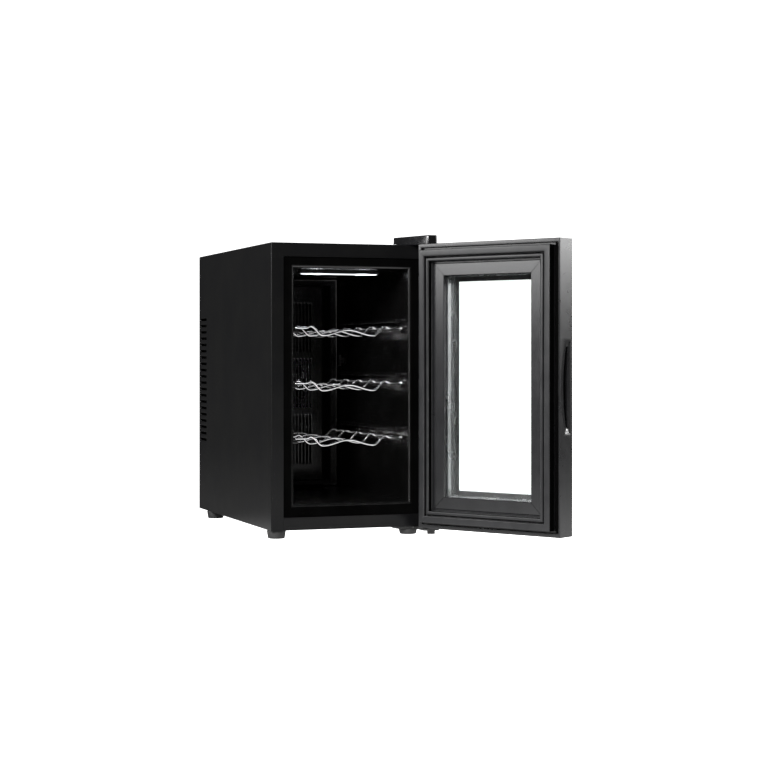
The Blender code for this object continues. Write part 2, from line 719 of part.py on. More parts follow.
BLOCK_FRONT = CAVITY_BACK + CLEARANCE
BLOCK_BACK = FOAM_BACK
PELTIER_FRONT = BLOCK_BACK + CLEARANCE
HOT_BASE_FRONT = PELTIER_FRONT + PELTIER_THICKNESS + CLEARANCE
HOT_FIN_TIP = REAR_COVER_INNER - HOT_FAN_REAR_GAP - HOT_FAN_DEPTH - CLEARANCE
COLD_BASE_BACK = CAVITY_BACK - CLEARANCE
COLD_BOX_FRONT = CAVITY_BACK - COLD_BOX_DEPTH
COLD_FAN_FRONT = COLD_BOX_FRONT + COLD_BOX_WALL + CLEARANCE
COLD_FIN_TIP = COLD_FAN_FRONT + COLD_FAN_DEPTH + CLEARANCE


def heat_sink(name, width, height, base_from, base_to, fin_tip):
    """A finned aluminium block: a comb outline in plan, extruded along Z."""
    pitch = (width - FIN_THICKNESS) / (FIN_COUNT - 1)
    comb = [(-width / 2, base_from), (width / 2, base_from)]
    for i in reversed(range(FIN_COUNT)):
        left = -width / 2 + i * pitch
        right = left + FIN_THICKNESS
        comb += [(right, base_to), (right, fin_tip), (left, fin_tip), (left, base_to)]
    outline = [comb[0], comb[1], *comb[3:-1]]
    low = COOLER_Z - height / 2
    plate(name, [outline], "Z", low, low + height, ALUMINIUM)


def cooling_core():
    """The thermoelectric module between its cold block and the two heat sinks."""
    half = BLOCK_SIDE / 2
    block_low = (-half, BLOCK_FRONT, COOLER_Z - half)
    box("cold_block", block_low, (half, BLOCK_BACK, COOLER_Z + half), ALUMINIUM)
    half = PELTIER_SIDE / 2
    module_back = PELTIER_FRONT + PELTIER_THICKNESS
    module_low = (-half, PELTIER_FRONT, COOLER_Z - half)
    box("peltier_module", module_low, (half, module_back, COOLER_Z + half), WHITE_CERAMIC)
    hot_base_back = HOT_BASE_FRONT + HOT_SINK_BASE
    heat_sink("hot_sink", HOT_SINK_SIDE, HOT_SINK_SIDE, HOT_BASE_FRONT, hot_base_back, HOT_FIN_TIP)
    cold_base_front = COLD_BASE_BACK - COLD_SINK_BASE
    heat_sink("cold_sink", COLD_SINK_WIDTH, COLD_SINK_HEIGHT, COLD_BASE_BACK, cold_base_front, COLD_FIN_TIP)


def fan(name, side, depth, front):
    """A square axial fan: frame with motor base and shaft, and a rotor that runs on the shaft."""
    middle = (0.0, front, COOLER_Z)
    bore = side / 2 - FAN_RIM_WALL
    square = rectangle((-side / 2, COOLER_Z - side / 2), (side / 2, COOLER_Z + side / 2))
    outlines = [rounded(square, FAN_RIM_WALL), circle((0.0, COOLER_Z), bore, 32)]
    frame = plate(f"{name}_frame", outlines, "Y", front, front + depth, BLACK_PLASTIC)
    reach = bore + FAN_RIM_WALL / 2
    strut = FAN_BASE * 1.5
    level = (-reach, front + 0.0002, COOLER_Z - strut)
    upright = (-strut, front + 0.0004, COOLER_Z - reach)
    join(frame, box(f"{name}_strut", level, (reach, front + FAN_BASE, COOLER_Z + strut)))
    upright_high = (strut, front + FAN_BASE - 0.0002, COOLER_Z + reach)
    join(frame, box(f"{name}_upright", upright, upright_high))
    shaft_end = depth - FAN_BASE
    motor = [
        (0.0, shaft_end),
        (FAN_SHAFT_RADIUS, shaft_end),
        (FAN_SHAFT_RADIUS, FAN_BASE + 0.0004),
        (FAN_HUB_RADIUS, FAN_BASE + 0.0004),
        (FAN_HUB_RADIUS, 0.0001),
        (0.0, 0.0001),
    ]
    join(frame, turned(f"{name}_motor", motor, middle, turn=TURN_TO_BACK, steps=20))
    hub_low = FAN_BASE + 0.0004 + CLEARANCE
    hub_high = depth - 0.0005
    bore_radius = FAN_SHAFT_RADIUS + CLEARANCE
    bore_end = shaft_end + CLEARANCE
    hub = [
        (0.0, hub_high),
        (FAN_HUB_RADIUS, hub_high),
        (FAN_HUB_RADIUS, hub_low),
        (bore_radius, hub_low),
        (bore_radius, bore_end),
        (0.0, bore_end),
    ]
    rotor = turned(f"{name}_rotor", hub, middle, BLACK_PLASTIC, turn=TURN_TO_BACK, steps=20)
    join(rotor, fan_blades(name, bore - FAN_TIP_GAP, hub_low, hub_high, middle))


def fan_blades(name, tip, low, high, middle):
    """Flat blades set at a pitch around the hub, in the rotor's own axes (+Z is the fan's axis)."""
    shape = bmesh.new()
    root = FAN_HUB_RADIUS * 0.8
    swing = math.cos(FAN_BLADE_PITCH)
    chord = (high - low - 0.001 - FAN_BLADE_THICKNESS) / math.sin(FAN_BLADE_PITCH) * 0.98
    reach = math.sqrt(tip**2 - (chord * swing / 2) ** 2) - 0.0005
    for i in range(FAN_BLADES):
        made = bmesh.ops.create_cube(shape, size=1.0)["verts"]
        size = (reach - root, chord, FAN_BLADE_THICKNESS)
        bmesh.ops.scale(shape, vec=size, verts=made)
        pitch = Matrix.Rotation(FAN_BLADE_PITCH, 4, "X")
        out = Matrix.Translation(((root + reach) / 2, 0.0, (low + high) / 2))
        around = Matrix.Rotation(2 * math.pi * i / FAN_BLADES, 4, "Z")
        bmesh.ops.transform(shape, matrix=around @ out @ pitch, verts=made)
    blades = place(mesh_object(f"{name}_blades", shape), middle, None)
    blades.rotation_euler = TURN_TO_BACK
    return blades


def cold_air_cover():
    """Slotted plastic box over the cold fan, with sloping side bands and open at the back."""
    z_low = CAVITY_LOW + COLD_BOX_BOTTOM_RISE
    z_high = CAVITY_HIGH - COLD_BOX_TOP_DROP
    y_back = CAVITY_BACK - CLEARANCE
    face = COLD_BOX_HALF - COLD_BOX_SLOPE
    step = COLD_BOX_FRONT + COLD_BOX_SLOPE / 2
    plan = [
        (-COLD_BOX_HALF, y_back),
        (-COLD_BOX_HALF, step),
        (-face, COLD_BOX_FRONT),
        (face, COLD_BOX_FRONT),
        (COLD_BOX_HALF, step),
        (COLD_BOX_HALF, y_back),
    ]
    cover = plate("cold_air_cover", [plan], "Z", z_low, z_high, BLACK_PLASTIC)
    wall = COLD_BOX_WALL
    inner = [
        (-COLD_BOX_HALF + wall, y_back + wall),
        (-COLD_BOX_HALF + wall, step + wall / 2),
        (-face + wall / 4, COLD_BOX_FRONT + wall),
        (face - wall / 4, COLD_BOX_FRONT + wall),
        (COLD_BOX_HALF - wall, step + wall / 2),
        (COLD_BOX_HALF - wall, y_back + wall),
    ]
    cut(cover, plate("cover_inside", [inner], "Z", z_low + wall, z_high - wall))
    cut(cover, boxes("cover_slots", cold_slot_spans(z_low, z_high)))


def cold_slot_spans(z_low, z_high):
    """Upright slots in columns and rows over the middle of the cover's face."""
    spans = []
    middle = (z_low + z_high) / 2
    row_pitch = (z_high - z_low - 2 * COLD_SLOT_MARGIN + COLD_SLOT_ROW_GAP) / COLD_SLOT_ROWS
    slot_length = row_pitch - COLD_SLOT_ROW_GAP
    y_low = COLD_BOX_FRONT - COLD_BOX_WALL
    y_high = COLD_BOX_FRONT + COLD_BOX_WALL + CLEARANCE / 2
    for row in range(COLD_SLOT_ROWS):
        z = middle + (row - (COLD_SLOT_ROWS - 1) / 2) * row_pitch
        for column in range(COLD_SLOT_COLUMNS):
            x = (column - (COLD_SLOT_COLUMNS - 1) / 2) * COLD_SLOT_PITCH
            low = (x - COLD_SLOT_WIDTH / 2, y_low, z - slot_length / 2)
            high = (x + COLD_SLOT_WIDTH / 2, y_high, z + slot_length / 2)
            spans.append((low, high))
    return spans


# --- electrics and lamp -----------------------------------------------------------------------


def power_board():
    """Circuit board on the back of the foam, with its transformer, choke and capacitor."""
    width, height, thickness = BOARD_SIZE
    x = WIDTH / 2 - SHEET - CLEARANCE - 0.008 - width
    z = COOLER_Z - HOT_SINK_SIDE / 2
    y = FOAM_BACK + CLEARANCE
    top = y + thickness
    board = box("power_board", (x, y, z), (x + width, top, z + height), CIRCUIT_BOARD)
    lumps = [
        ((x + 0.006, top - 0.0005, z + 0.008), (x + 0.034, top + 0.024, z + 0.036)),
        ((x + 0.010, top - 0.0005, z + 0.044), (x + 0.030, top + 0.016, z + 0.060)),
        ((x + 0.008, top - 0.0005, z + 0.068), (x + 0.042, top + 0.010, z + 0.080)),
    ]
    join(board, boxes("board_lumps", lumps))


def temperature_sensor():
    """Sensor capsule on a small base on the cavity's right wall, behind the shelves' reach."""
    base_x, base_y, base_z = SENSOR_BASE
    wall = CAVITY_HALF - CLEARANCE
    y = COLD_BOX_FRONT + SENSOR_FROM_BOX
    low = (wall - base_x, y, SENSOR_Z - base_z / 2)
    sensor = box("temperature_sensor", low, (wall, y + base_y, SENSOR_Z + base_z / 2), BLACK_PLASTIC)
    capsule = (wall - base_x - SENSOR_RADIUS / 2, y + base_y / 2, SENSOR_Z)
    half = SENSOR_LENGTH / 2
    join(sensor, rod("sensor_capsule", SENSOR_RADIUS, -half, half, capsule, steps=12))


def lamp():
    """LED strip lamp on the cavity's ceiling: housing, board and lens."""
    y = behind(LAMP_FROM_FRONT)
    top = CAVITY_HIGH - CLEARANCE
    low = top - LAMP_HEIGHT
    half_x = LAMP_LENGTH / 2
    half_y = LAMP_WIDTH / 2
    housing = box("lamp_housing", (-half_x, y - half_y, low), (half_x, y + half_y, top), BLACK_PLASTIC)
    lens_x = LENS_LENGTH / 2
    lens_y = LENS_WIDTH / 2
    pocket_top = top - 0.0012
    pocket_low = (-lens_x - CLEARANCE, y - lens_y - CLEARANCE, low - 0.001)
    pocket_high = (lens_x + CLEARANCE, y + lens_y + CLEARANCE, pocket_top)
    cut(housing, box("lamp_pocket", pocket_low, pocket_high))
    board_top = pocket_top - CLEARANCE
    board_low = board_top - LED_BOARD_THICKNESS
    box("led_board", (-lens_x, y - lens_y, board_low), (lens_x, y + lens_y, board_top), CIRCUIT_BOARD)
    lens_top = board_low - CLEARANCE
    box("lamp_lens", (-lens_x, y - lens_y, low - LENS_DROP), (lens_x, y + lens_y, lens_top), LAMP_LENS)


# --- shelves ----------------------------------------------------------------------------------


def rack_level(index):
    """Height of a rack's side rods."""
    return CAVITY_LOW + RACK_FIRST + index * RACK_PITCH


def ease(start, end, share):
    """A value between two, easing out of the first and into the second by half a cosine."""
    return start + (end - start) * (1 - math.cos(math.pi * share)) / 2


def wave_points(rod_x):
    """Half of a cradle wire from the middle out to a side rod: crest, bottle valley, shoulder, tab."""
    valley_x = BOTTLE_SPACING / 2
    stations = [
        (0.0, WAVE_MIDDLE),
        (valley_x, WAVE_VALLEY),
        (valley_x + WAVE_SHOULDER_X, WAVE_SHOULDER),
        (valley_x + WAVE_TAB_X, 0.0),
    ]
    points = []
    for (x0, z0), (x1, z1) in zip(stations, stations[1:]):
        for i in range(WAVE_STEPS):
            share = i / WAVE_STEPS
            points.append((x0 + (x1 - x0) * share, ease(z0, z1, share)))
    return points + [stations[-1], (rod_x, 0.0)]


def wires(name, paths, radius, finish=None, resolution=1):
    """Round wires along straight-sided paths, as one object."""
    curve = bpy.data.curves.new(name, "CURVE")
    curve.dimensions = "3D"
    curve.bevel_depth = radius
    curve.bevel_resolution = resolution
    curve.use_fill_caps = True
    for path in paths:
        spline = curve.splines.new("POLY")
        spline.points.add(len(path) - 1)
        for point, position in zip(spline.points, path):
            point.co = (*position, 1.0)
    return place(mesh_from_curve(name, curve), (0.0, 0.0, 0.0), finish)


def rack(index):
    """A chromed wire rack: two side rods and the wavy cradle wires between them."""
    name = RACK_NAMES[index]
    level = rack_level(index)
    rod_x = CAVITY_HALF - RACK_SIDE_GAP - RACK_ROD
    y_front = behind(RACK_FRONT_GAP)
    y_back = COLD_BOX_FRONT - RACK_BACK_GAP
    rods = [[(side * rod_x, y_front, level), (side * rod_x, y_back, level)] for side in (-1, 1)]
    shelf = wires(name, rods, RACK_ROD, CHROME, resolution=2)
    half = wave_points(rod_x)
    profile = [(-x, z) for x, z in reversed(half[1:])] + half
    waves = []
    for i in range(RACK_WAVES):
        y = behind(RACK_FIRST_WAVE + i * RACK_WAVE_PITCH)
        waves.append([(x, y, level + z) for x, z in profile])
    join(shelf, wires(f"{name}_waves", waves, RACK_WIRE))


# --- hinges -----------------------------------------------------------------------------------


def hinge_plan(margin):
    """Plan of the top hinge, wide on the cabinet and narrow over the door, drawn in by a margin."""
    back_x = WIDTH / 2 - HINGE_BACK_X
    nose_x = WIDTH / 2 - HINGE_NOSE_X
    back_half = HINGE_BACK_HALF - margin
    nose_half = HINGE_NOSE_HALF - margin
    back_y = behind(HINGE_BACK_Y) - margin
    nose_y = FRONT - HINGE_NOSE_Y + margin
    corners = [
        (nose_x - nose_half, nose_y),
        (nose_x + nose_half, nose_y),
        (back_x + back_half, back_y),
        (back_x - back_half, back_y),
    ]
    return rounded(corners, HINGE_COVER_CORNER - margin)


def top_hinge():
    """Bracket plate on the cabinet's top, its cover, the pin it holds and the door's bush."""
    low = HEIGHT + CLEARANCE
    cover_top = HEIGHT + HINGE_COVER_HEIGHT
    cover = plate("top_hinge_cover", [hinge_plan(0.0)], "Z", low, cover_top, GLOSS_PLASTIC)
    ceiling = cover_top - HINGE_COVER_WALL
    cut(cover, plate("cover_hollow", [hinge_plan(HINGE_COVER_WALL)], "Z", low - SHEET, ceiling))
    plan = hinge_plan(HINGE_COVER_WALL + CLEARANCE)
    holes = [circle(screw_place, SCREW_HOLE_RADIUS) for screw_place in TOP_SCREWS]
    holes.append(circle((PIVOT_X, PIVOT_Y), PIN_RADIUS + CLEARANCE))
    plate("top_hinge_bracket", [plan, *holes], "Z", low, low + TOP_PLATE, ZINC_STEEL)
    head_low = low + TOP_PLATE + CLEARANCE
    head_high = head_low + PIN_CAP_HEIGHT
    tip = DOOR_HIGH - PIN_REACH
    pin = [
        (0.0, head_high),
        (PIN_CAP_RADIUS, head_high),
        (PIN_CAP_RADIUS, head_low),
        (PIN_RADIUS, head_low),
        (PIN_RADIUS, tip),
        (0.0, tip),
    ]
    turned("top_hinge_pin", pin, (PIVOT_X, PIVOT_Y, 0.0), ZINC_STEEL)
    hinge_bush("top_hinge_bush", DOOR_HIGH - BUSH_HEIGHT, DOOR_HIGH)


def hinge_bush(name, low, high):
    """Plastic bush in the door's edge that turns on a hinge pin."""
    bore = PIN_RADIUS + CLEARANCE
    ring_profile = [(bore, high), (BUSH_RADIUS, high), (BUSH_RADIUS, low), (bore, low)]
    turned(name, ring_profile, (PIVOT_X, PIVOT_Y, 0.0), BLACK_PLASTIC, HINGE)


def bottom_hinge():
    """Steel arm under the base that carries the door on its pin."""
    side = WIDTH / 2 - ARM_SIDE_INSET
    back_y = behind(ARM_BACK_Y)
    corners = [
        (side - ARM_WIDTH, FRONT - ARM_NOSE_Y),
        (side, FRONT - ARM_NOSE_Y),
        (side, back_y),
        (WIDTH / 2 - ARM_PLATE_X, back_y),
        (WIDTH / 2 - ARM_PLATE_X, behind(ARM_STEP_Y)),
        (side - ARM_WIDTH, behind(ARM_STEP_Y)),
    ]
    holes = [circle(place_xy, SCREW_HOLE_RADIUS) for place_xy in BOTTOM_SCREWS]
    holes.append(circle((PIVOT_X, PIVOT_Y), PIN_RADIUS + CLEARANCE))
    top = -CLEARANCE
    outline = rounded(corners, ARM_CORNER)
    plate("bottom_hinge_bracket", [outline, *holes], "Z", top - BOTTOM_PLATE, top, ZINC_STEEL)
    head_top = top - BOTTOM_PLATE - CLEARANCE
    tip = DOOR_LOW + PIN_REACH
    pin = [
        (0.0, tip),
        (PIN_RADIUS, tip),
        (PIN_RADIUS, head_top),
        (PIN_HEAD_RADIUS, head_top),
        (PIN_HEAD_RADIUS, head_top - PIN_HEAD_HEIGHT),
        (0.0, head_top - PIN_HEAD_HEIGHT),
    ]
    turned("bottom_hinge_pin", pin, (PIVOT_X, PIVOT_Y, 0.0), ZINC_STEEL)
    hinge_bush("bottom_hinge_bush", DOOR_LOW, DOOR_LOW + BUSH_HEIGHT)


# --- door, laid out shut ----------------------------------------------------------------------

OUTER_GLASS_BACK = DOOR_OUTER + 0.0002 + OUTER_GLASS
OUTER_SPACER_FRONT = OUTER_GLASS_BACK + CLEARANCE
MIDDLE_GLASS_FRONT = OUTER_SPACER_FRONT + SPACER_OUTER + CLEARANCE
INNER_SPACER_FRONT = MIDDLE_GLASS_FRONT + GLASS + CLEARANCE
INNER_GLASS_FRONT = INNER_SPACER_FRONT + SPACER_INNER + CLEARANCE
TRIM_FRONT = INNER_GLASS_FRONT + GLASS + CLEARANCE
DOOR_MIDDLE_Z = (DOOR_LOW + DOOR_HIGH) / 2
FREE_EDGE = -DOOR_HALF


def bow(length, chord, rise, end_rise, grow=0.0):
    """A bow outline in the free edge's plane: straight towards the door's front, curved behind."""
    half = length / 2 + grow
    front = DOOR_INNER - chord - grow
    points = [(front, DOOR_MIDDLE_Z - half), (front, DOOR_MIDDLE_Z + half)]
    for i in range(BOW_STEPS + 1):
        share = 1 - 2 * i / BOW_STEPS
        height = end_rise + (rise - end_rise) * (1 - share**2)
        points.append((front + height + 2 * grow, DOOR_MIDDLE_Z + half * share))
    return points


def handle_outlines(grow):
    """Outlines of the scoop and of the finger slot's sleeve, grown by a clearance."""
    scoop = bow(HANDLE_LENGTH, HANDLE_CHORD, HANDLE_BOW, HANDLE_END, grow)
    sleeve = bow(SLOT_LENGTH, SLOT_CHORD, SLOT_BOW, SLOT_END, SLOT_WALL + grow)
    return scoop, sleeve


def door_frame():
    """Plastic ring that holds the glass unit, the gasket, the handle insert and the bushes."""
    frame = plate("door_frame", ring(0.0, FRAME_RING), "Y", DOOR_OUTER, DOOR_INNER, BLACK_PLASTIC, HINGE)
    low_z, high_z = DOOR_LOW, DOOR_HIGH
    recess = OUTER_GLASS_INSET - CLEARANCE
    recess_low = (-DOOR_HALF + recess, DOOR_OUTER - SHEET, low_z + recess)
    recess_high = (DOOR_HALF - recess, OUTER_GLASS_BACK + CLEARANCE, high_z - recess)
    cut(frame, box("outer_glass_recess", recess_low, recess_high, parent=HINGE))
    rebate = TRIM_INSET - CLEARANCE
    rebate_low = (-DOOR_HALF + rebate, TRIM_FRONT - CLEARANCE, low_z + rebate)
    rebate_high = (DOOR_HALF - rebate, DOOR_INNER + SHEET, high_z - rebate)
    cut(frame, box("trim_rebate", rebate_low, rebate_high, parent=HINGE))
    groove = ring(GASKET_ROOT[0] - CLEARANCE, GASKET_ROOT[1] + CLEARANCE)
    groove_low = DOOR_INNER - GASKET_ROOT_DEPTH - CLEARANCE
    cut(frame, plate("gasket_groove", groove, "Y", groove_low, DOOR_INNER + SHEET, parent=HINGE))
    hole = BUSH_RADIUS + CLEARANCE
    depth = BUSH_HEIGHT + CLEARANCE
    axis = (PIVOT_X, PIVOT_Y, 0.0)
    cut(frame, rod("top_bush_hole", hole, high_z - depth, high_z + SHEET, axis, None, HINGE))
    cut(frame, rod("bottom_bush_hole", hole, low_z - SHEET, low_z + depth, axis, None, HINGE))
    scoop, sleeve = handle_outlines(CLEARANCE)
    scoop_depth = FREE_EDGE + HANDLE_RIM_DEPTH + CLEARANCE
    sleeve_depth = FREE_EDGE + SLOT_DEPTH + SLOT_WALL + CLEARANCE
    cut(frame, plate("scoop_pocket", [scoop], "X", FREE_EDGE - SHEET, scoop_depth, parent=HINGE))
    cut(frame, plate("sleeve_pocket", [sleeve], "X", FREE_EDGE - 2 * SHEET, sleeve_depth, parent=HINGE))
    board_x, board_z, board_y = DISPLAY_BOARD
    pocket_depth = board_y + DISPLAY_SIZE[2] + 3 * CLEARANCE
    middle_z = high_z - DISPLAY_INSET
    pocket_low = (-board_x / 2 - CLEARANCE, DOOR_OUTER, middle_z - board_z / 2 - CLEARANCE)
    pocket_y = OUTER_GLASS_BACK + pocket_depth
    pocket_high = (board_x / 2 + CLEARANCE, pocket_y, middle_z + board_z / 2 + CLEARANCE)
    cut(frame, box("display_pocket", pocket_low, pocket_high, parent=HINGE))


def glass_unit():
    """Three panes with two metal spacer frames between them."""
    inset = FRAME_RING + CLEARANCE
    outer_front = OUTER_GLASS_BACK - OUTER_GLASS
    outer = inset_rectangle(OUTER_GLASS_INSET)
    inner = inset_rectangle(inset)
    plate("outer_glass", [outer], "Y", outer_front, OUTER_GLASS_BACK, GLASS_CLEAR, HINGE)
    plate("middle_glass", [inner], "Y", MIDDLE_GLASS_FRONT, MIDDLE_GLASS_FRONT + GLASS, GLASS_CLEAR, HINGE)
    plate("inner_glass", [inner], "Y", INNER_GLASS_FRONT, INNER_GLASS_FRONT + GLASS, GLASS_CLEAR, HINGE)
    edge = inset + SPACER_MARGIN
    outlines = ring(edge, edge + SPACER_WIDTH)
    outer_end = OUTER_SPACER_FRONT + SPACER_OUTER
    inner_end = INNER_SPACER_FRONT + SPACER_INNER
    plate("outer_spacer", outlines, "Y", OUTER_SPACER_FRONT, outer_end, ALUMINIUM, HINGE)
    plate("inner_spacer", outlines, "Y", INNER_SPACER_FRONT, inner_end, ALUMINIUM, HINGE)


def glazing_trims():
    """Four mitred strips that hold the glass unit, like a picture frame."""
    x = DOOR_HALF - TRIM_INSET
    z = (DOOR_HIGH - DOOR_LOW) / 2 - TRIM_INSET
    for name, sign in (("trim_bottom", -1), ("trim_top", 1)):
        outline = [(along, DOOR_MIDDLE_Z + sign * out) for along, out in mitred_strip(x, z)]
        plate(name, [outline], "Y", TRIM_FRONT, DOOR_INNER + TRIM_PROUD, BLACK_PLASTIC, HINGE)
    for name, sign in (("trim_handle_side", -1), ("trim_hinge_side", 1)):
        outline = [(sign * out, DOOR_MIDDLE_Z + along) for along, out in mitred_strip(z, x)]
        plate(name, [outline], "Y", TRIM_FRONT, DOOR_INNER + TRIM_PROUD, BLACK_PLASTIC, HINGE)


def mitred_strip(half_length, out):
    """A strip's outline as (along, out) points, with both ends cut at 45 degrees."""
    near = half_length - CLEARANCE * 0.75
    far = near - TRIM_WIDTH
    return [(-near, out), (near, out), (far, out - TRIM_WIDTH), (-far, out - TRIM_WIDTH)]


def door_gasket():
    """Magnetic seal: a root in the frame's groove, a base, the magnet bulb and an inner lip."""
    base_low = DOOR_INNER + CLEARANCE
    base_high = DOOR_INNER + GASKET_BASE_HEIGHT
    overlap = GASKET_BASE_HEIGHT / 3
    gasket = plate("door_gasket", ring(*GASKET_BASE), "Y", base_low, base_high, GASKET_RUBBER, HINGE)
    bulb_top = FRONT - GASKET_CLEARANCE
    lip_top = DOOR_INNER + GASKET_LIP_HEIGHT
    root_low = DOOR_INNER - GASKET_ROOT_DEPTH
    join(gasket, plate("gasket_bulb", ring(*GASKET_BULB), "Y", base_high - overlap, bulb_top, parent=HINGE))
    join(gasket, plate("gasket_lip", ring(*GASKET_LIP), "Y", base_high - overlap, lip_top, parent=HINGE))
    join(gasket, plate("gasket_root", ring(*GASKET_ROOT), "Y", root_low, base_low + overlap, parent=HINGE))


def handle_insert():
    """Moulded insert in the free edge: a shallow bow-shaped scoop around a deep finger slot."""
    scoop, sleeve = handle_outlines(0.0)
    face = FREE_EDGE + HANDLE_SCOOP
    back = FREE_EDGE + HANDLE_RIM_DEPTH
    insert = plate("handle_insert", [scoop], "X", face, back, BLACK_PLASTIC, HINGE)
    sleeve_end = FREE_EDGE + SLOT_DEPTH + SLOT_WALL
    join(insert, plate("slot_sleeve", [sleeve], "X", face + HANDLE_SCOOP, sleeve_end, parent=HINGE))
    slot = bow(SLOT_LENGTH, SLOT_CHORD, SLOT_BOW, SLOT_END)
    cut(insert, plate("finger_slot", [slot], "X", FREE_EDGE - SHEET, FREE_EDGE + SLOT_DEPTH, parent=HINGE))


def touch_display():
    """Display window and its circuit board behind the outer glass, in the frame's top rail."""
    board_x, board_z, board_y = DISPLAY_BOARD
    size_x, size_z, size_y = DISPLAY_SIZE
    z = DOOR_HIGH - DISPLAY_INSET
    front = OUTER_GLASS_BACK + CLEARANCE
    back = front + size_y
    low = (-size_x / 2, front, z - size_z / 2)
    box("touch_display", low, (size_x / 2, back, z + size_z / 2), GLOSS_PLASTIC, HINGE)
    board_front = back + CLEARANCE
    low = (-board_x / 2, board_front, z - board_z / 2)
    high = (board_x / 2, board_front + board_y, z + board_z / 2)
    box("control_board", low, high, CIRCUIT_BOARD, HINGE)


# --- the whole --------------------------------------------------------------------------------

outer_shell()
base_plate()
feet()
inner_liner()
foam_insulation()
rear_cover()
power_inlet()
cabinet_screws()
cooling_core()
fan("cold_fan", COLD_FAN_SIDE, COLD_FAN_DEPTH, COLD_FAN_FRONT)
fan("hot_fan", HOT_FAN_SIDE, HOT_FAN_DEPTH, HOT_FIN_TIP + CLEARANCE)
cold_air_cover()
power_board()
temperature_sensor()
lamp()
for number in range(len(RACK_NAMES)):
    rack(number)
top_hinge()
bottom_hinge()
door_frame()
glass_unit()
glazing_trims()
door_gasket()
handle_insert()
touch_display()
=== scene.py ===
"""Finished surfaces of a thermoelectric wine cooler whose glass door stands open.

Metres, +Z up, +X towards the hinge side and +Y into the cabinet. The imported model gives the
places and sizes. Door pieces are worked out as if the door were shut, and then swung open about
the hinge line. Most pieces are grids of points, whose quads are merged where grids meet.
"""

import json
import math
from collections import namedtuple

import bmesh
import bpy
import numpy as np
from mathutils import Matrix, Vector


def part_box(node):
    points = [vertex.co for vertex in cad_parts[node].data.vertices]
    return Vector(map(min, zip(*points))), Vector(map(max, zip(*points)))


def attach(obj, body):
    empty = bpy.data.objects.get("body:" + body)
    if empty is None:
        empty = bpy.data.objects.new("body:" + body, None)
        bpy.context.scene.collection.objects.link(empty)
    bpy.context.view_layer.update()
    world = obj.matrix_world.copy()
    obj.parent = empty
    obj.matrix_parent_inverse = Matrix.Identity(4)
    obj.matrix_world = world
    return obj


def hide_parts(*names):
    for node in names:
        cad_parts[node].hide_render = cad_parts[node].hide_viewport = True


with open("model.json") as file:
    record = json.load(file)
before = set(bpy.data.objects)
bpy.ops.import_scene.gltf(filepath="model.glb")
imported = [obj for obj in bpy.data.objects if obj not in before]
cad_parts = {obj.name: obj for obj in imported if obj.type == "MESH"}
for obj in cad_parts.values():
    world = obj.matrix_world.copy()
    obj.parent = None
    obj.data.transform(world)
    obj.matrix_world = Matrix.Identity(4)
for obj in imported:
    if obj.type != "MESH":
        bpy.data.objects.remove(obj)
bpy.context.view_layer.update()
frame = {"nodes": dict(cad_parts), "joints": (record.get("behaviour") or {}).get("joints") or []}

# --- camera ---

eye = bpy.data.cameras.new("eye")
eye.lens = 84.858
eye.sensor_width = 36.0
eye.shift_x = -0.0026
eye.shift_y = -0.0375
eye_place = bpy.data.objects.new("eye", eye)
eye_place.location = (-0.8701, -2.7732, 0.2584)
eye_place.rotation_euler = (math.pi / 2, 0.0, -math.radians(19.86))
bpy.context.scene.collection.objects.link(eye_place)
bpy.context.scene.camera = eye_place
bpy.context.scene.view_settings.view_transform = "Standard"

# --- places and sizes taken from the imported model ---


def corners(node):
    """Lowest and highest corner of a node at rest."""
    low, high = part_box(node)
    return np.array(low), np.array(high)


HINGE = next(joint for joint in frame["joints"] if joint["name"] == "door_hinge")
PIVOT = np.array(HINGE["pos_m"][:2])
OPENING = -math.radians(HINGE["range_deg"][0])


def swung(points, angle):
    """Points turned about the upright hinge line, counterclockwise seen from above."""
    out = np.array(points, float)
    across = out[..., 0] - PIVOT[0]
    along = out[..., 1] - PIVOT[1]
    out[..., 0] = PIVOT[0] + math.cos(angle) * across - math.sin(angle) * along
    out[..., 1] = PIVOT[1] + math.sin(angle) * across + math.cos(angle) * along
    return out


def shut_corners(node):
    """Lowest and highest corner of a door node when the door is shut."""
    data = frame["nodes"][node].data
    flat = np.zeros(len(data.vertices) * 3)
    data.vertices.foreach_get("co", flat)
    placed = flat.reshape(-1, 3) @ np.array(frame["nodes"][node].matrix_world)[:3, :3].T
    points = swung(placed + np.array(frame["nodes"][node].matrix_world)[:3, 3], -OPENING)
    return points.min(axis=0), points.max(axis=0)


# Cabinet, with the gap that neighbours keep
CLEARANCE = 0.0003
SHELL_LOW, SHELL_HIGH = corners("outer_shell")
SHEET = 0.001
SHELL_RADIUS = 0.0013
BEZEL_SIDE = 0.019
BEZEL_TOP = 0.0204
BEZEL_BOTTOM = 0.0191
RAIL_GAP = 0.00015
WALL_SIDE = 0.036
WALL_BOTTOM = 0.0383
WALL_TOP = 0.0368
LINER_LOW, LINER_HIGH = corners("inner_liner")
LINER_SHEET = 0.002
FLANGE_DROP = 0.0012
LIP_RADIUS = 0.004
CAVITY_FILLET = 0.005
CAVITY_HALF = SHELL_HIGH[0] - WALL_SIDE
CAVITY_LOW = WALL_BOTTOM
CAVITY_HIGH = SHELL_HIGH[2] - WALL_TOP
CAVITY_BACK = LINER_HIGH[1] - LINER_SHEET

# Slots, and the side vents' count and places
Slot = namedtuple("Slot", "half_long half_wide margin pitch")
VENT = Slot(0.020, 0.0021, 0.003, 0.01055)
VENT_COUNT = 20
VENT_FROM_BACK = 0.009
VENT_FROM_TOP = 0.207
VENT_LIP = 0.0009
VENT_DISH = 0.0006

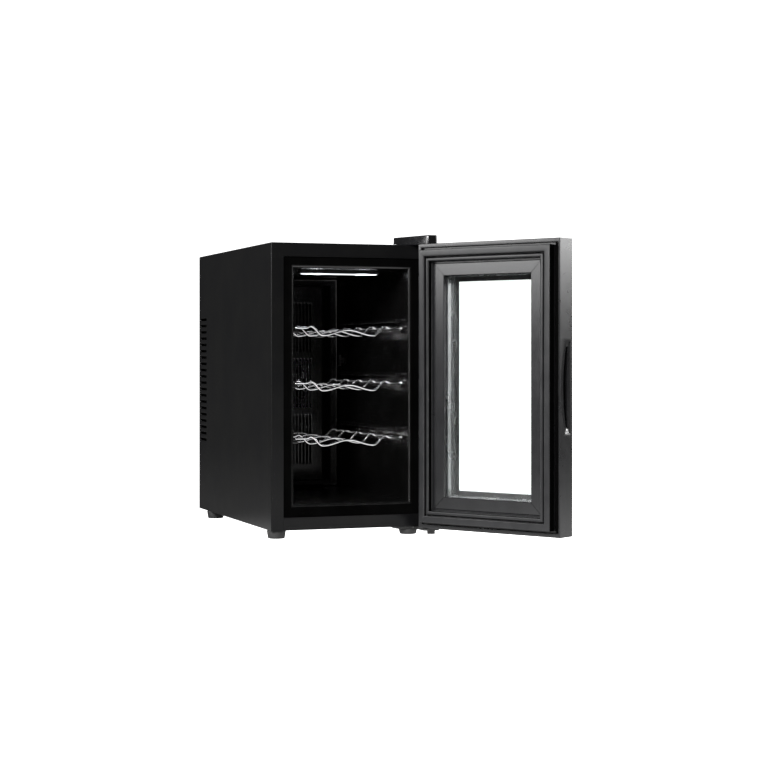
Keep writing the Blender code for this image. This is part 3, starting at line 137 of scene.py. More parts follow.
# Racks
RACKS = ("rack_bottom", "rack_middle", "rack_top")
RACK_WIRE = 0.00175
RACK_ROD = 0.002
WAVE_X = np.array([0.0, 0.040, 0.0595, 0.0655])
WAVE_Z = np.array([-0.003, -0.011, 0.0025, 0.0])
WAVE_COUNT = 5
WAVE_FIRST = 0.006
WAVE_PITCH = 0.063
RACK_LEVELS = [corners(name)[1][2] - WAVE_Z[2] - RACK_WIRE for name in RACKS]

# Ribs under and over each rack's rods
RIB_ROOT = 0.001
RIB_DEPTH = 0.0095
RIB_HEIGHT = 0.005
RIB_ROUND = 0.0012
RUNNER_DROP = RACK_ROD + CLEARANCE + RIB_HEIGHT
LEDGE_RISE = 0.0092
RUNNER_FRONT = 0.013
LEDGE_FRONT = 0.032

# Door, as insets from its edge and levels above its inner face, both when shut
DOOR_LOW, DOOR_HIGH = shut_corners("door_frame")
DOOR_INNER = DOOR_HIGH[1]
DOOR_CORNER = 0.0012
RIM_WIDTH = 0.005
RIM_ROUND = 0.0012
CHANNEL_DEPTH = 0.0045
CHANNEL_END = 0.0098
FREE_CHANNEL = 0.0034
TRIM_OUT = 0.0305
TRIM_IN = 0.0485
TRIM_PROUD = 0.001
BREAK_OUT = 0.0006
BREAK_IN = 0.0008
MITRE_GAP = 0.0004
FRAME_RING = 0.038
GLASS_RECESS = 0.0027
PRINT_EDGE = 0.0035
PRINT_INSET = 0.0568
PRINT_GAP = 0.00012
PRINT_COAT = 0.0001
PANE_ROUND = 0.0005
SPACER_WIDTH = 0.0105

# Handle in the door's free edge, as lengths along Z and along Y from the inner face
HANDLE_MIDDLE = (DOOR_LOW[2] + DOOR_HIGH[2]) / 2
SCOOP = {"half": 0.065, "chord": 0.0278, "rise": 0.0242, "end": 0.0130}
SLOT = {"half": 0.058, "chord": 0.0255, "rise": 0.0117, "end": 0.0045}
SLOT_DEPTH = 0.021
POCKET_HALF = 0.070
POCKET_FAR = 0.0295
POCKET_NEAR = 0.0025
INSERT_GAP = 0.00015

# --- materials ---


def linear(code):
    """An sRGB hex colour as linear red, green, blue and alpha."""
    srgb = np.array([int(code[i : i + 2], 16) for i in (1, 3, 5)]) / 255
    rgb = np.where(srgb <= 0.04045, srgb / 12.92, ((srgb + 0.055) / 1.055) ** 2.4)
    return (*rgb.tolist(), 1.0)


def add(tree, kind, inputs=None, **settings):
    """Add a node with its settings; an input is given a value, or is linked if it is a socket."""
    made = tree.nodes.new("ShaderNode" + kind)
    for name, value in settings.items():
        setattr(made, name, value)
    for name, value in (inputs or {}).items():
        if isinstance(value, bpy.types.NodeSocket):
            tree.links.new(value, made.inputs[name])
        else:
            made.inputs[name].default_value = value
    return made


class Finish:
    """A node material whose patterns read the piece's own place in metres."""

    def __init__(self, name, **values):
        self.material = bpy.data.materials.new(name)
        self.material.use_nodes = True
        self.tree = self.material.node_tree
        self.shader = self.tree.nodes["Principled BSDF"]
        self.place = add(self.tree, "TexCoord").outputs["Object"]
        for name, value in values.items():
            self.shader.inputs[name.replace("_", " ")].default_value = value

    def grain(self, size, low, high, stretch=(1.0, 1.0, 1.0), detail=2.0):
        """Soft noise whose lumps have one size, as a value between two limits."""
        scaled = add(self.tree, "Mapping", {"Vector": self.place, "Scale": stretch})
        noise = add(
            self.tree,
            "TexNoise",
            {"Vector": scaled.outputs[0], "Scale": 1 / size, "Detail": detail},
        )
        limits = {"From Min": 0.3, "From Max": 0.7, "To Min": low, "To Max": high}
        return add(self.tree, "MapRange", {"Value": noise.outputs[0], **limits}).outputs[0]

    def colour(self, share, first, second):
        """Blend the base colour between two hex colours by a share from 0 to 1."""
        inputs = {"Fac": share, "Color1": linear(first), "Color2": linear(second)}
        mixed = add(self.tree, "MixRGB", inputs)
        self.link(mixed.outputs[0], "Base Color")

    def relief(self, height, depth, strength=1.0):
        """Raise and sink the surface by a height from 0 to 1 times a depth in metres."""
        inputs = {"Height": height, "Distance": depth, "Strength": strength}
        self.link(add(self.tree, "Bump", inputs).outputs[0], "Normal")

    def tone(self, size, first, second, **kind):
        """Drift the base colour between two hex colours in lumps of one size."""
        self.colour(self.grain(size, 0.0, 1.0, **kind), first, second)

    def sheen(self, size, low, high, **kind):
        """Drift the roughness between two values in lumps of one size."""
        self.link(self.grain(size, low, high, **kind), "Roughness")

    def pores(self, size, depth, strength, **kind):
        """Raise and sink the surface in lumps of one size."""
        self.relief(self.grain(size, 0.0, 1.0, **kind), depth, strength)

    def link(self, socket, name):
        """Feed one of the shader's inputs."""
        self.tree.links.new(socket, self.shader.inputs[name])


def powder_coat():
    """Powder-coated sheet steel: the fused powder leaves a fine orange peel and a satin gloss."""
    made = Finish("powder_coated_steel", IOR=1.5, Specular_IOR_Level=0.2)
    made.tone(0.060, "#060607", "#090909")
    made.sheen(0.020, 0.28, 0.30)
    # Real orange peel is about 1 mm across; 1.6 mm still shows at this size.
    made.pores(0.0016, 0.00001, 0.15)
    return made.material


def thermoformed_polystyrene():
    """High-impact polystyrene drawn over a mould: glossy, with slow waves from the forming."""
    made = Finish("thermoformed_polystyrene", IOR=1.59)
    made.tone(0.040, "#040404", "#070707")
    made.sheen(0.030, 0.20, 0.23)
    made.pores(0.014, 0.00002, 0.1)
    return made.material


def matt_polystyrene():
    """The liner's flange, sandblasted in the mould: it gives back almost no light."""
    made = Finish("matt_polystyrene", IOR=1.59, Specular_IOR_Level=0.0)
    made.tone(0.040, "#020202", "#040404")
    made.sheen(0.010, 0.45, 0.55)
    made.pores(0.0010, 0.00002, 0.3)
    return made.material


def moulded_abs():
    """ABS from a spark-eroded mould: a fine even grain that scatters a soft grey sheen."""
    made = Finish("moulded_abs", IOR=1.54, Specular_IOR_Level=0.36)
    made.tone(0.050, "#0f0f10", "#151516")
    made.sheen(0.015, 0.27, 0.31)
    # The eroded grain is about 0.3 mm; 1.2 mm is the finest that shows.
    made.pores(0.0012, 0.00001, 0.08)
    return made.material


def satin_abs():
    """ABS from a lightly stoned mould: smoother and brighter along its folds than the frame."""
    made = Finish("satin_abs", IOR=1.54)
    made.tone(0.040, "#121213", "#181819")
    made.sheen(0.012, 0.21, 0.25)
    made.pores(0.0012, 0.00001, 0.10)
    return made.material


def polished_abs():
    """ABS from a polished mould: near mirror gloss with faint sink marks."""
    made = Finish("polished_abs", IOR=1.54)
    made.tone(0.030, "#0a0a0b", "#0e0e0f")
    made.sheen(0.010, 0.14, 0.22)
    made.pores(0.008, 0.00003, 0.25)
    return made.material


def soft_vinyl():
    """Extruded plasticised PVC: a dull even skin with a slight bloom and draw lines."""
    made = Finish("extruded_soft_vinyl", IOR=1.53, Specular_IOR_Level=0.28)
    made.tone(0.018, "#151516", "#1c1c1d")
    made.sheen(0.010, 0.30, 0.36)
    made.pores(0.0010, 0.00001, 0.2, detail=3.0)
    return made.material


def moulded_rubber():
    """Compression-moulded rubber: matt, with pale dust held in its pores."""
    made = Finish("moulded_rubber", IOR=1.52)
    made.tone(0.0025, "#101010", "#1d1d1d", detail=4.0)
    made.sheen(0.004, 0.45, 0.62)
    made.pores(0.0012, 0.00005, 0.5)
    return made.material


def chrome_plate():
    """Nickel-chrome plate on drawn wire: a mirror broken by drawing marks along the wire."""
    made = Finish("chrome_plated_wire", Metallic=1.0)
    made.tone(0.006, "#dcdcde", "#f2f2f3")
    made.sheen(0.004, 0.12, 0.20)
    made.pores(0.0012, 0.00002, 0.3, stretch=(0.3, 1.0, 1.0))
    return made.material


def extruded_aluminium():
    """Extruded aluminium: die lines run along the length, so the sheen is drawn out across it."""
    made = Finish("extruded_aluminium", Metallic=1.0)
    lines = made.grain(0.0012, 0.0, 1.0, (1.0, 1.0, 0.05))
    made.colour(lines, "#b4b5b7", "#cccdcf")
    made.sheen(0.003, 0.28, 0.42, stretch=(1.0, 1.0, 0.1))
    made.relief(lines, 0.00002, 0.4)
    return made.material


def anodised_aluminium():
    """Roll-formed anodised strip of the glazing spacers: an even satin that varies slowly along it."""
    made = Finish("anodised_aluminium", Metallic=1.0)
    made.tone(0.030, "#a9abac", "#b3b5b6")
    made.sheen(0.030, 0.25, 0.28)
    return made.material


def zinc_plate():
    """Zinc-plated steel: small spangled crystals of slightly different brightness."""
    made = Finish("zinc_plated_steel", Metallic=1.0)
    cells = add(made.tree, "TexVoronoi", {"Vector": made.place, "Scale": 1 / 0.0035})
    share = add(made.tree, "RGBToBW", {"Color": cells.outputs["Color"]}).outputs[0]
    made.colour(share, "#84878a", "#b3b5b8")
    made.sheen(0.005, 0.30, 0.45)
    made.pores(0.0020, 0.00002, 0.3)
    return made.material


def painted_shade_black():
    """Near-black matt sheet without gloss, with faint random tufts: painted shade, laid where the door's
    channel and the seal's walls fall into shadow.
    """
    made = Finish("painted_shade_black", Specular_IOR_Level=0.0)
    made.tone(0.0015, "#020202", "#060606", detail=4.0)
    made.sheen(0.003, 0.9, 1.0)
    made.pores(0.0010, 0.0001, 0.5)
    return made.material


def phosphated_steel():
    """Black phosphated steel of the hinge arm: dark and slightly mottled with oil."""
    made = Finish("phosphated_steel", IOR=1.6)
    made.tone(0.006, "#0c0c0c", "#181817", detail=4.0)
    made.sheen(0.004, 0.34, 0.52)
    made.pores(0.0010, 0.00003, 0.4)
    return made.material


def float_glass():
    """Clear float glass: optically flat, with a faint green body colour."""
    made = Finish("clear_float_glass", IOR=1.45, Transmission_Weight=1.0, Roughness=0.0)
    made.tone(0.120, "#fbfdfc", "#fdfefe")
    return made.material


def fired_print():
    """Black ceramic ink fired onto glass: dense, smooth and a little grainy when seen close."""
    made = Finish("fired_ceramic_print", IOR=1.5)
    made.tone(0.0020, "#050505", "#090909")
    made.sheen(0.010, 0.30, 0.40)
    made.pores(0.0010, 0.00001, 0.2)
    return made.material


def opal_polycarbonate():
    """Opal polycarbonate lens over two diodes, brightest near each of them."""
    made = Finish("opal_polycarbonate", IOR=1.58, Roughness=0.35)
    made.tone(0.020, "#f3f6fa", "#ffffff")
    made.shader.inputs["Emission Color"].default_value = linear("#f4f8ff")
    split = add(made.tree, "SeparateXYZ", {"Vector": made.place})
    reach = add(made.tree, "Math", {0: split.outputs["X"]}, operation="ABSOLUTE")
    from_diode = {0: reach.outputs[0], 1: LAMP_DIODE}
    apart = add(made.tree, "Math", from_diode, operation="SUBTRACT").outputs[0]
    away = add(made.tree, "Math", {0: apart}, operation="ABSOLUTE").outputs[0]
    limits = {"From Min": 0.0, "From Max": 0.014, "To Min": LAMP_BRIGHT, "To Max": LAMP_DIM}
    glow = add(made.tree, "MapRange", {"Value": away, **limits})
    made.link(glow.outputs[0], "Emission Strength")
    return made.material


def glowing_print():
    """Cold white display segments behind the door's glass, with soft uneven light."""
    made = Finish("lit_segments", IOR=1.5, Roughness=0.5)
    made.tone(0.003, "#dfe9f5", "#f6faff")
    made.shader.inputs["Emission Color"].default_value = linear("#dcebff")
    made.link(made.grain(0.004, 1.1, 1.5), "Emission Strength")
    return made.material


def circuit_laminate():
    """Glass-fibre laminate under green solder mask, with the copper's pattern showing through."""
    made = Finish("circuit_laminate", IOR=1.5)
    tracks = add(made.tree, "TexWave", {"Vector": made.place, "Scale": 60.0, "Distortion": 9.0})
    edge = {"From Min": 0.45, "From Max": 0.55, "To Min": 0.0, "To Max": 1.0}
    share = add(made.tree, "MapRange", {"Value": tracks.outputs["Fac"], **edge}).outputs[0]
    made.colour(share, "#0b3a1e", "#14582e")
    made.sheen(0.003, 0.25, 0.45)
    made.relief(share, 0.00004, 0.5)
    return made.material


def sintered_alumina():
    """Sintered alumina plates of the cooling module: chalky white with fine pores."""
    made = Finish("sintered_alumina", IOR=1.76)
    made.tone(0.002, "#dcdad4", "#efede8")
    made.sheen(0.002, 0.50, 0.65)
    made.pores(0.0008, 0.00003, 0.4)
    return made.material


def foamed_polyurethane():
    """Foamed-in-place polyurethane: yellow cells under a smooth, dimpled skin."""
    made = Finish("foamed_polyurethane", IOR=1.45)
    made.tone(0.006, "#c9ad6c", "#e3cc93", detail=5.0)
    made.sheen(0.004, 0.75, 0.9)
    made.pores(0.0030, 0.0004, 0.6, detail=4.0)
    return made.material


LAMP_DIODE = 0.038
LAMP_BRIGHT = 14.0
LAMP_DIM = 1.8

COAT = powder_coat()
LINER = thermoformed_polystyrene()
FLANGE = matt_polystyrene()
ABS = moulded_abs()
SATIN = satin_abs()
GLOSS = polished_abs()
VINYL = soft_vinyl()
RUBBER = moulded_rubber()
CHROME = chrome_plate()
EXTRUSION = extruded_aluminium()
SPACER = anodised_aluminium()
ZINC = zinc_plate()
PHOSPHATE = phosphated_steel()
# Painted shade: the near-black sheet for the shaded channel floor and seal walls
SHADE_BLACK = painted_shade_black()
GLASS = float_glass()
PRINT = fired_print()
LENS = opal_polycarbonate()
SEGMENTS = glowing_print()
LAMINATE = circuit_laminate()
ALUMINA = sintered_alumina()
FOAM = foamed_polyurethane()

# --- grids of points ---


def lattice(points, wrap_rows=False, wrap_columns=False, holes=()):
    """Points and quads of a grid: four neighbours make a quad, wrapped sides meet their start.

    Each hole is a block of rows and columns (first row, last row, first column, last column)
    whose quads are left out.
    """
    rows, columns = points.shape[:2]
    last_row = rows if wrap_rows else rows - 1
    last_column = columns if wrap_columns else columns - 1
    row, column = np.meshgrid(np.arange(last_row), np.arange(last_column), indexing="ij")
    kept = np.ones(row.shape, bool)
    for first_row, end_row, first_column, end_column in holes:
        kept[first_row:end_row, first_column:end_column] = False
    row, column = row[kept], column[kept]
    below = (row + 1) % rows
    beside = (column + 1) % columns
    quads = [row * columns + column, below * columns + column]
    quads += [below * columns + beside, row * columns + beside]
    return points.reshape(-1, 3), np.stack(quads, axis=-1)


def rim_of(grid, block):
    """Points of a grid in order round a block of its rows and columns."""
    first_row, end_row, first_column, end_column = block
    down = np.arange(first_row, end_row)
    across = np.arange(first_column, end_column)
    up = np.arange(end_row, first_row, -1)
    back = np.arange(end_column, first_column, -1)
    rows = [down, np.full(len(across), end_row), up, np.full(len(back), first_row)]
    columns = [np.full(len(down), first_column), across, np.full(len(up), end_column), back]
    return grid[np.concatenate(rows), np.concatenate(columns)]


def flat_grid(axis, level, first, second):
    """A grid of points in the plane where one axis has a fixed level."""
    u, v = np.meshgrid(first, second, indexing="ij")
    return np.insert(np.stack([u, v], axis=-1), axis, level, axis=-1)


def lines(low, high, radius, steps=3, middle=1):
    """Grid lines between two levels, closer at the ends so that a rounded edge gets even steps.

    A line at radius x (1 - tan a) from the end lands at the angle a on the edge's arc.
    """
    near = radius * (1 - np.tan(np.linspace(math.pi / 4, 0, steps + 1)))
    near = np.append(near, min(radius * 1.6, (high - low) * 0.45))
    inner = np.linspace(low + radius, high - radius, middle + 1)[1:-1]
    return np.concatenate([low + near, inner, (high - near)[::-1]])


def softened(points, low, high, radius):
    """Points of a sharp box pulled onto the rounded one: the radius away from a smaller box."""
    core = np.clip(points, low + radius, high - radius)
    away = points - core
    length = np.linalg.norm(away, axis=-1, keepdims=True)
    return core + away * radius / np.maximum(length, 1e-9)


def soft_box(low, high, radius, steps=3):
    """A closed box with rounded edges, as six grids."""
    low, high = np.array(low, float), np.array(high, float)
    spans = [lines(low[i], high[i], radius, steps) for i in range(3)]
    grids = []
    for axis in range(3):
        first, second = (spans[i] for i in range(3) if i != axis)
        for level in (low[axis], high[axis]):
            grids.append(softened(flat_grid(axis, level, first, second), low, high, radius))
    return [lattice(grid) for grid in grids]


def lofted(loops, capped=True):
    """A skin through closed loops, with each end closed by a fan to the end loop's middle."""
    if capped:
        ends = [np.broadcast_to(loop.mean(axis=0), loop.shape)[None] for loop in (loops[0], loops[-1])]
        loops = np.concatenate([ends[0], loops, ends[1]])
    return lattice(np.asarray(loops), wrap_columns=True)


def lathe(profile, centre, axis=2, steps=48):
    """A turned skin: each (radius, height) point is carried round an axis through the centre."""
    profile = np.array(profile)
    angle = np.linspace(0, 2 * math.pi, steps, endpoint=False)
    u = profile[:, :1] * np.cos(angle)
    v = profile[:, :1] * np.sin(angle)
    height = np.broadcast_to(profile[:, 1:], u.shape)
    columns = [u, v]
    columns.insert(axis, height)
    return lattice(np.stack(columns, axis=-1) + np.array(centre), wrap_columns=True)


def wire(path, radius, sides=14, dome=4):
    """A round wire along a path: circles square to it, shrinking to a point over each end.

    The circle's plane is spanned by a side direction and by its cross product with the tangent.
    """
    turns = np.linspace(0, math.pi / 2, dome + 1)[::-1]
    tangent = np.gradient(path, axis=0)
    tangent /= np.linalg.norm(tangent, axis=1, keepdims=True)
    start = path[0] - np.outer(np.sin(turns), tangent[0]) * radius
    end = path[-1] + np.outer(np.sin(turns[::-1]), tangent[-1]) * radius
    path = np.concatenate([start[:-1], path, end[1:]])
    tangent = np.concatenate([np.repeat(tangent[:1], dome, 0), tangent, np.repeat(tangent[-1:], dome, 0)])
    size = np.ones(len(path)) * radius
    size[:dome] = radius * np.cos(turns[:-1])
    size[-dome:] = radius * np.cos(turns[::-1][1:])
    side = np.cross(tangent, [0.0, 0.0, 1.0])
    side /= np.linalg.norm(side, axis=1, keepdims=True)
    rise = np.cross(side, tangent)
    angle = np.linspace(0, 2 * math.pi, sides, endpoint=False)
    ring = side[:, None] * np.cos(angle)[:, None] + rise[:, None] * np.sin(angle)[:, None]
    return lattice(path[:, None] + ring * size[:, None, None], wrap_columns=True)


def rounded_rim(low, high, radius, first=(), second=(), steps=6):
    """Points round a rectangle and their outward directions, which turn at each corner.

    A corner's points all lie on the sharp corner; drawn_in spreads them over its arc. The first
    and second lists add points along the sides that run along the first or second axis.
    """
    first, second = np.sort(np.array(first, float)), np.sort(np.array(second, float))
    turn = np.linspace(0, math.pi / 2, steps + 1)
    sides = [
        (np.stack([first, np.full(len(first), low[1])], 1), (0, -1), (high[0], low[1]), -math.pi / 2),
        (np.stack([np.full(len(second), high[0]), second], 1), (1, 0), (high[0], high[1]), 0.0),
        (np.stack([first[::-1], np.full(len(first), high[1])], 1), (0, 1), (low[0], high[1]), math.pi / 2),
        (np.stack([np.full(len(second), low[0]), second[::-1]], 1), (-1, 0), (low[0], low[1]), math.pi),
    ]
    points, outward = [], []
    for side, normal, corner, start in sides:
        arc = np.stack([np.cos(start + turn), np.sin(start + turn)], 1)
        points += [side, np.tile(corner, (steps + 1, 1))]
        outward += [np.tile(normal, (len(side), 1)), arc]
    return {
        "points": np.concatenate(points),
        "outward": np.concatenate(outward),
        "low": np.array(low),
        "high": np.array(high),
        "radius": radius,
    }


def drawn_in(rim, inset):
    """The rim's loop at an inset: corner arcs shrink about their centres until they are sharp."""
    margin = max(inset, rim["radius"])
    core = np.clip(rim["points"], rim["low"] + margin, rim["high"] - margin)
    return core + (margin - inset) * rim["outward"]


def at_level(loop, axis, level):
    """A flat loop placed in the plane where one axis has a level."""
    return np.insert(loop, axis, level, axis=-1)


def slot_rings(rim, centre, slot, lip, long_axis):
    """Two loops inside a cell's rim: a round-ended slot's outline grown by a lip, and the outline.

    A point is first drawn to the slot's straight core, and then lies the slot's radius from it.
    """
    offset = rim - centre
    core = np.zeros_like(offset)
    reach = slot.half_long - slot.half_wide
    core[:, long_axis] = np.clip(offset[:, long_axis], -reach, reach)
    away = offset - core
    away /= np.linalg.norm(away, axis=1, keepdims=True)
    return [centre + core + away * (slot.half_wide + grown) for grown in (lip, 0.0)]


# --- objects ---

WELD = 0.000002
SMOOTH_BELOW = math.radians(32)


def piece(name, patches, finish, body, replaces=(), wall=0.0, faces_to=None, weld=WELD):
    """A mesh object from patches: merged, facing outwards, walled inwards, and set on its body.

    An open skin is turned to face the given point, or away from its own middle if there is none.
    """
    counts = np.cumsum([0] + [len(points) for points, _ in patches])
    points = np.concatenate([points for points, _ in patches])
    quads = np.concatenate([faces + start for (_, faces), start in zip(patches, counts)])
    if body == "door":
        points = swung(points, OPENING)
    data = bpy.data.meshes.new(name)
    data.from_pydata(points.tolist(), [], quads.tolist())
    shape = bmesh.new()
    shape.from_mesh(data)
    bmesh.ops.remove_doubles(shape, verts=shape.verts, dist=weld)
    bmesh.ops.dissolve_degenerate(shape, edges=shape.edges, dist=weld / 2)
    bmesh.ops.recalc_face_normals(shape, faces=shape.faces)
    if wall:
        turn_towards(shape, faces_to, points.mean(axis=0))
    shape.to_mesh(data)
    shape.free()
    data.shade_smooth()
    data.set_sharp_from_angle(angle=SMOOTH_BELOW)
    item = bpy.data.objects.new(name, data)
    bpy.context.scene.collection.objects.link(item)
    data.materials.append(finish)
    if wall:
        walled(item, wall)
    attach(item, body)
    if replaces:
        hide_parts(*replaces)
    return item


def walled(item, wall):
    """Give a skin its thickness for good, so that its new rims are marked sharp as well."""
    thicken = item.modifiers.new("wall", "SOLIDIFY")
    thicken.thickness = wall
    thicken.offset = -1.0
    thicken.use_even_offset = True
    skin = item.data
    solid = bpy.data.meshes.new_from_object(item.evaluated_get(bpy.context.evaluated_depsgraph_get()))
    item.modifiers.clear()
    item.data = solid
    bpy.data.meshes.remove(skin)
    solid.name = item.name
    solid.set_sharp_from_angle(angle=SMOOTH_BELOW)


def turn_towards(shape, target, middle):
    """Reverse an open skin's faces if, taken together, they look the wrong way."""
    point = Vector(middle if target is None else target)
    looking = 0.0
    for face in shape.faces:
        looking += face.normal.dot(point - face.calc_center_median()) * face.calc_area()
    if (looking < 0) == (target is not None):
        bmesh.ops.reverse_faces(shape, faces=shape.faces)


def slotted(grid, axis, cells, lip, dish, skipped=()):
    """A flat grid with round-ended slots: each has a cell of the grid, a pressed lip and a dish."""
    patches = [lattice(grid, holes=[cell[0] for cell in cells] + list(skipped))]
    for block, centre, slot, long_axis in cells:
        rim = rim_of(grid, block)
        outer, inner = slot_rings(np.delete(rim, axis, 1), np.array(centre), slot, lip, long_axis)
        level = rim[0, axis]
        middle = outer + (inner - outer) * 0.6
        loops = [rim, at_level(outer, axis, level), at_level(middle, axis, level + dish * 0.3)]
        patches.append(lofted(loops + [at_level(inner, axis, level + dish)], capped=False))
    return patches


def spread(count, pitch):
    """Evenly spaced places about zero."""
    return (np.arange(count) - (count - 1) / 2) * pitch


def slot_lines(middle, slot):
    """Grid lines along a slot's cell, with extra lines abreast of its round ends."""
    reach = slot.half_long - slot.half_wide
    edge = slot.half_long + slot.margin
    between = (edge + reach) / 2
    return middle + np.array([-edge, -between, -reach, 0.0, reach, between, edge])


def cell_lines(middle, slot):
    """Grid lines across a slot's cell, which is one pitch wide."""
    return middle + np.linspace(-1, 1, 5) * slot.pitch / 2


def merged_lines(*spans):
    """All lines in order, each once."""
    return np.unique(np.round(np.concatenate([np.atleast_1d(span) for span in spans]), 7))


def block_of(first, second, first_span, second_span):
    """The block of rows and columns between lines at the given places."""
    nearest = [abs(first - place).argmin() for place in first_span]
    nearest += [abs(second - place).argmin() for place in second_span]
    return tuple(int(line) for line in nearest)


def slot_cell(first, second, centre, slot, long_axis):
    """A slot's cell: its block of the grid's rows and columns, its centre, its size and its axis."""
    reach = [slot.pitch / 2, slot.pitch / 2]
    reach[long_axis] = slot.half_long + slot.margin
    spans = [(middle - half, middle + half) for middle, half in zip(centre, reach)]
    return block_of(first, second, *spans), centre, slot, long_axis


# --- cabinet ---

HALF = SHELL_HIGH[0]
FRONT = SHELL_LOW[1]
BACK = SHELL_HIGH[1]
TOP = SHELL_HIGH[2]

# The wrap's rounded box runs on past its open back and bottom
FAR = 1.0
WRAP_LOW = np.array((-HALF, FRONT, -FAR))
WRAP_HIGH = np.array((HALF, FAR, TOP))
EDGE_LINES = np.append(SHELL_RADIUS * (1 - np.tan(np.linspace(math.pi / 4, 0, 4))), 0.002)

# Points that a walled skin faces
INSIDE = (0.0, -0.1, 0.2)
AHEAD = (0.0, -3.0, 0.2)
BEHIND = (0.0, 5.0, 0.2)


def on_wrap(grid):
    """A grid pulled onto the wrap, whose front and top edges are rounded."""
    return softened(grid, WRAP_LOW, WRAP_HIGH, SHELL_RADIUS)


def side_panel(side):
    """One side of the wrap with its column of pressed, round-ended vent slots."""
    middle_y = BACK - VENT_FROM_BACK - VENT.half_long
    middles = TOP - VENT_FROM_TOP + spread(VENT_COUNT, VENT.pitch)
    y = merged_lines(FRONT + EDGE_LINES, slot_lines(middle_y, VENT), BACK)
    z = merged_lines(0.0, *[cell_lines(middle, VENT) for middle in middles], TOP - EDGE_LINES)
    cells = [slot_cell(y, z, (middle_y, middle), VENT, 0) for middle in middles]
    return slotted(on_wrap(flat_grid(0, side * HALF, y, z)), 0, cells, VENT_LIP, -side * VENT_DISH)


def shell():
    """The wrap: two slotted sides, top and front strips, with the bottom rail butted between them."""
    opening = HALF - BEZEL_SIDE
    x = merged_lines(-HALF + EDGE_LINES, -opening, opening, HALF - EDGE_LINES)
    y = merged_lines(FRONT + EDGE_LINES, BACK)
    z = merged_lines(0.0, TOP - BEZEL_TOP, TOP - EDGE_LINES)
    mouth = block_of(x, z, (-opening, opening), (0.0, TOP - BEZEL_TOP))
    patches = side_panel(-1) + side_panel(1)
    patches.append(lattice(on_wrap(flat_grid(2, TOP, x, y))))
    patches.append(lattice(on_wrap(flat_grid(1, FRONT, x, z)), holes=[mouth]))
    piece("shell", patches, COAT, "cabinet", ["outer_shell"], SHEET)
    rail_low = (-opening + RAIL_GAP, FRONT, 0.0)
    rail_high = (opening - RAIL_GAP, FRONT + SHEET, BEZEL_BOTTOM)
    rail = soft_box(rail_low, rail_high, SHEET * 0.45)
    piece("bottom_rail", rail, COAT, "cabinet")


def tub_loop(grown, level):
    """The cavity's rectangle grown outwards, in the plane at a depth."""
    low = (-CAVITY_HALF - grown, CAVITY_LOW - grown)
    high = (CAVITY_HALF + grown, CAVITY_HIGH + grown)
    return upright_rectangle(low, high, level)


def upright_rectangle(low, high, level):
    """A rectangle across X and up Z, in the plane at a depth."""
    return at_level(rounded_rim(low, high, 0.0)["points"], 1, level)


def liner():
    """The thermoformed tub: sloping flange, rolled lip, straight walls and a filleted back."""
    lip_y = LINER_LOW[1] + FLANGE_DROP
    loops = [upright_rectangle(LINER_LOW[[0, 2]], LINER_HIGH[[0, 2]], LINER_LOW[1])]
    for angle in np.linspace(0, math.pi / 2, 7):
        grown = LIP_RADIUS * (1 - math.sin(angle))
        loops.append(tub_loop(grown, lip_y + LIP_RADIUS * (1 - math.cos(angle))))
    for angle in np.linspace(0, math.pi / 2, 6):
        inset = CAVITY_FILLET * (1 - math.cos(angle))
        loops.append(tub_loop(-inset, CAVITY_BACK - CAVITY_FILLET * (1 - math.sin(angle))))
    hole_low, hole_high = (corner[[0, 2]] for corner in corners("cold_block"))
    loops.append(upright_rectangle(hole_low - CLEARANCE, hole_high + CLEARANCE, CAVITY_BACK))
    skin = [lofted(loops[1:], capped=False)]
    piece("liner", skin, LINER, "cabinet", ["inner_liner"], LINER_SHEET, INSIDE)
    skin = [lofted(loops[:2], capped=False)]
    piece("liner_flange", skin, FLANGE, "cabinet", (), LINER_SHEET, AHEAD)


def liner_ribs():
    """Ribs on the cavity's side walls: a runner under each rack's rods and a ledge over them."""
    ribs = []
    back_y = corners("cold_air_cover")[0][1] + CLEARANCE
    for level in RACK_LEVELS:
        for bottom, front in ((level - RUNNER_DROP, RUNNER_FRONT), (level + LEDGE_RISE, LEDGE_FRONT)):
            for side in (-1, 1):
                ends = sorted((side * (CAVITY_HALF + RIB_ROOT), side * (CAVITY_HALF - RIB_DEPTH)))
                low = (ends[0], FRONT + front, bottom)
                ribs += soft_box(low, (ends[1], back_y, bottom + RIB_HEIGHT), RIB_ROUND)
    piece("liner_ribs", ribs, LINER, "cabinet")


COVER_COLUMNS = 11
COVER_ROWS = 3
COVER_SLOT = Slot(0.040, 0.0013, 0.002, 0.0058)
COVER_ROW_PITCH = 0.092
COVER_FACE = 0.048
COVER_END = 0.004
COVER_BANDS = ((0.0, 0.0), (0.0012, 0.00025), (0.0022, 0.0009), (0.018, 0.0087), (0.019, 0.0099))
COVER_WALL = 0.0014
COVER_LIP = 0.0006
COVER_DISH = 0.0005


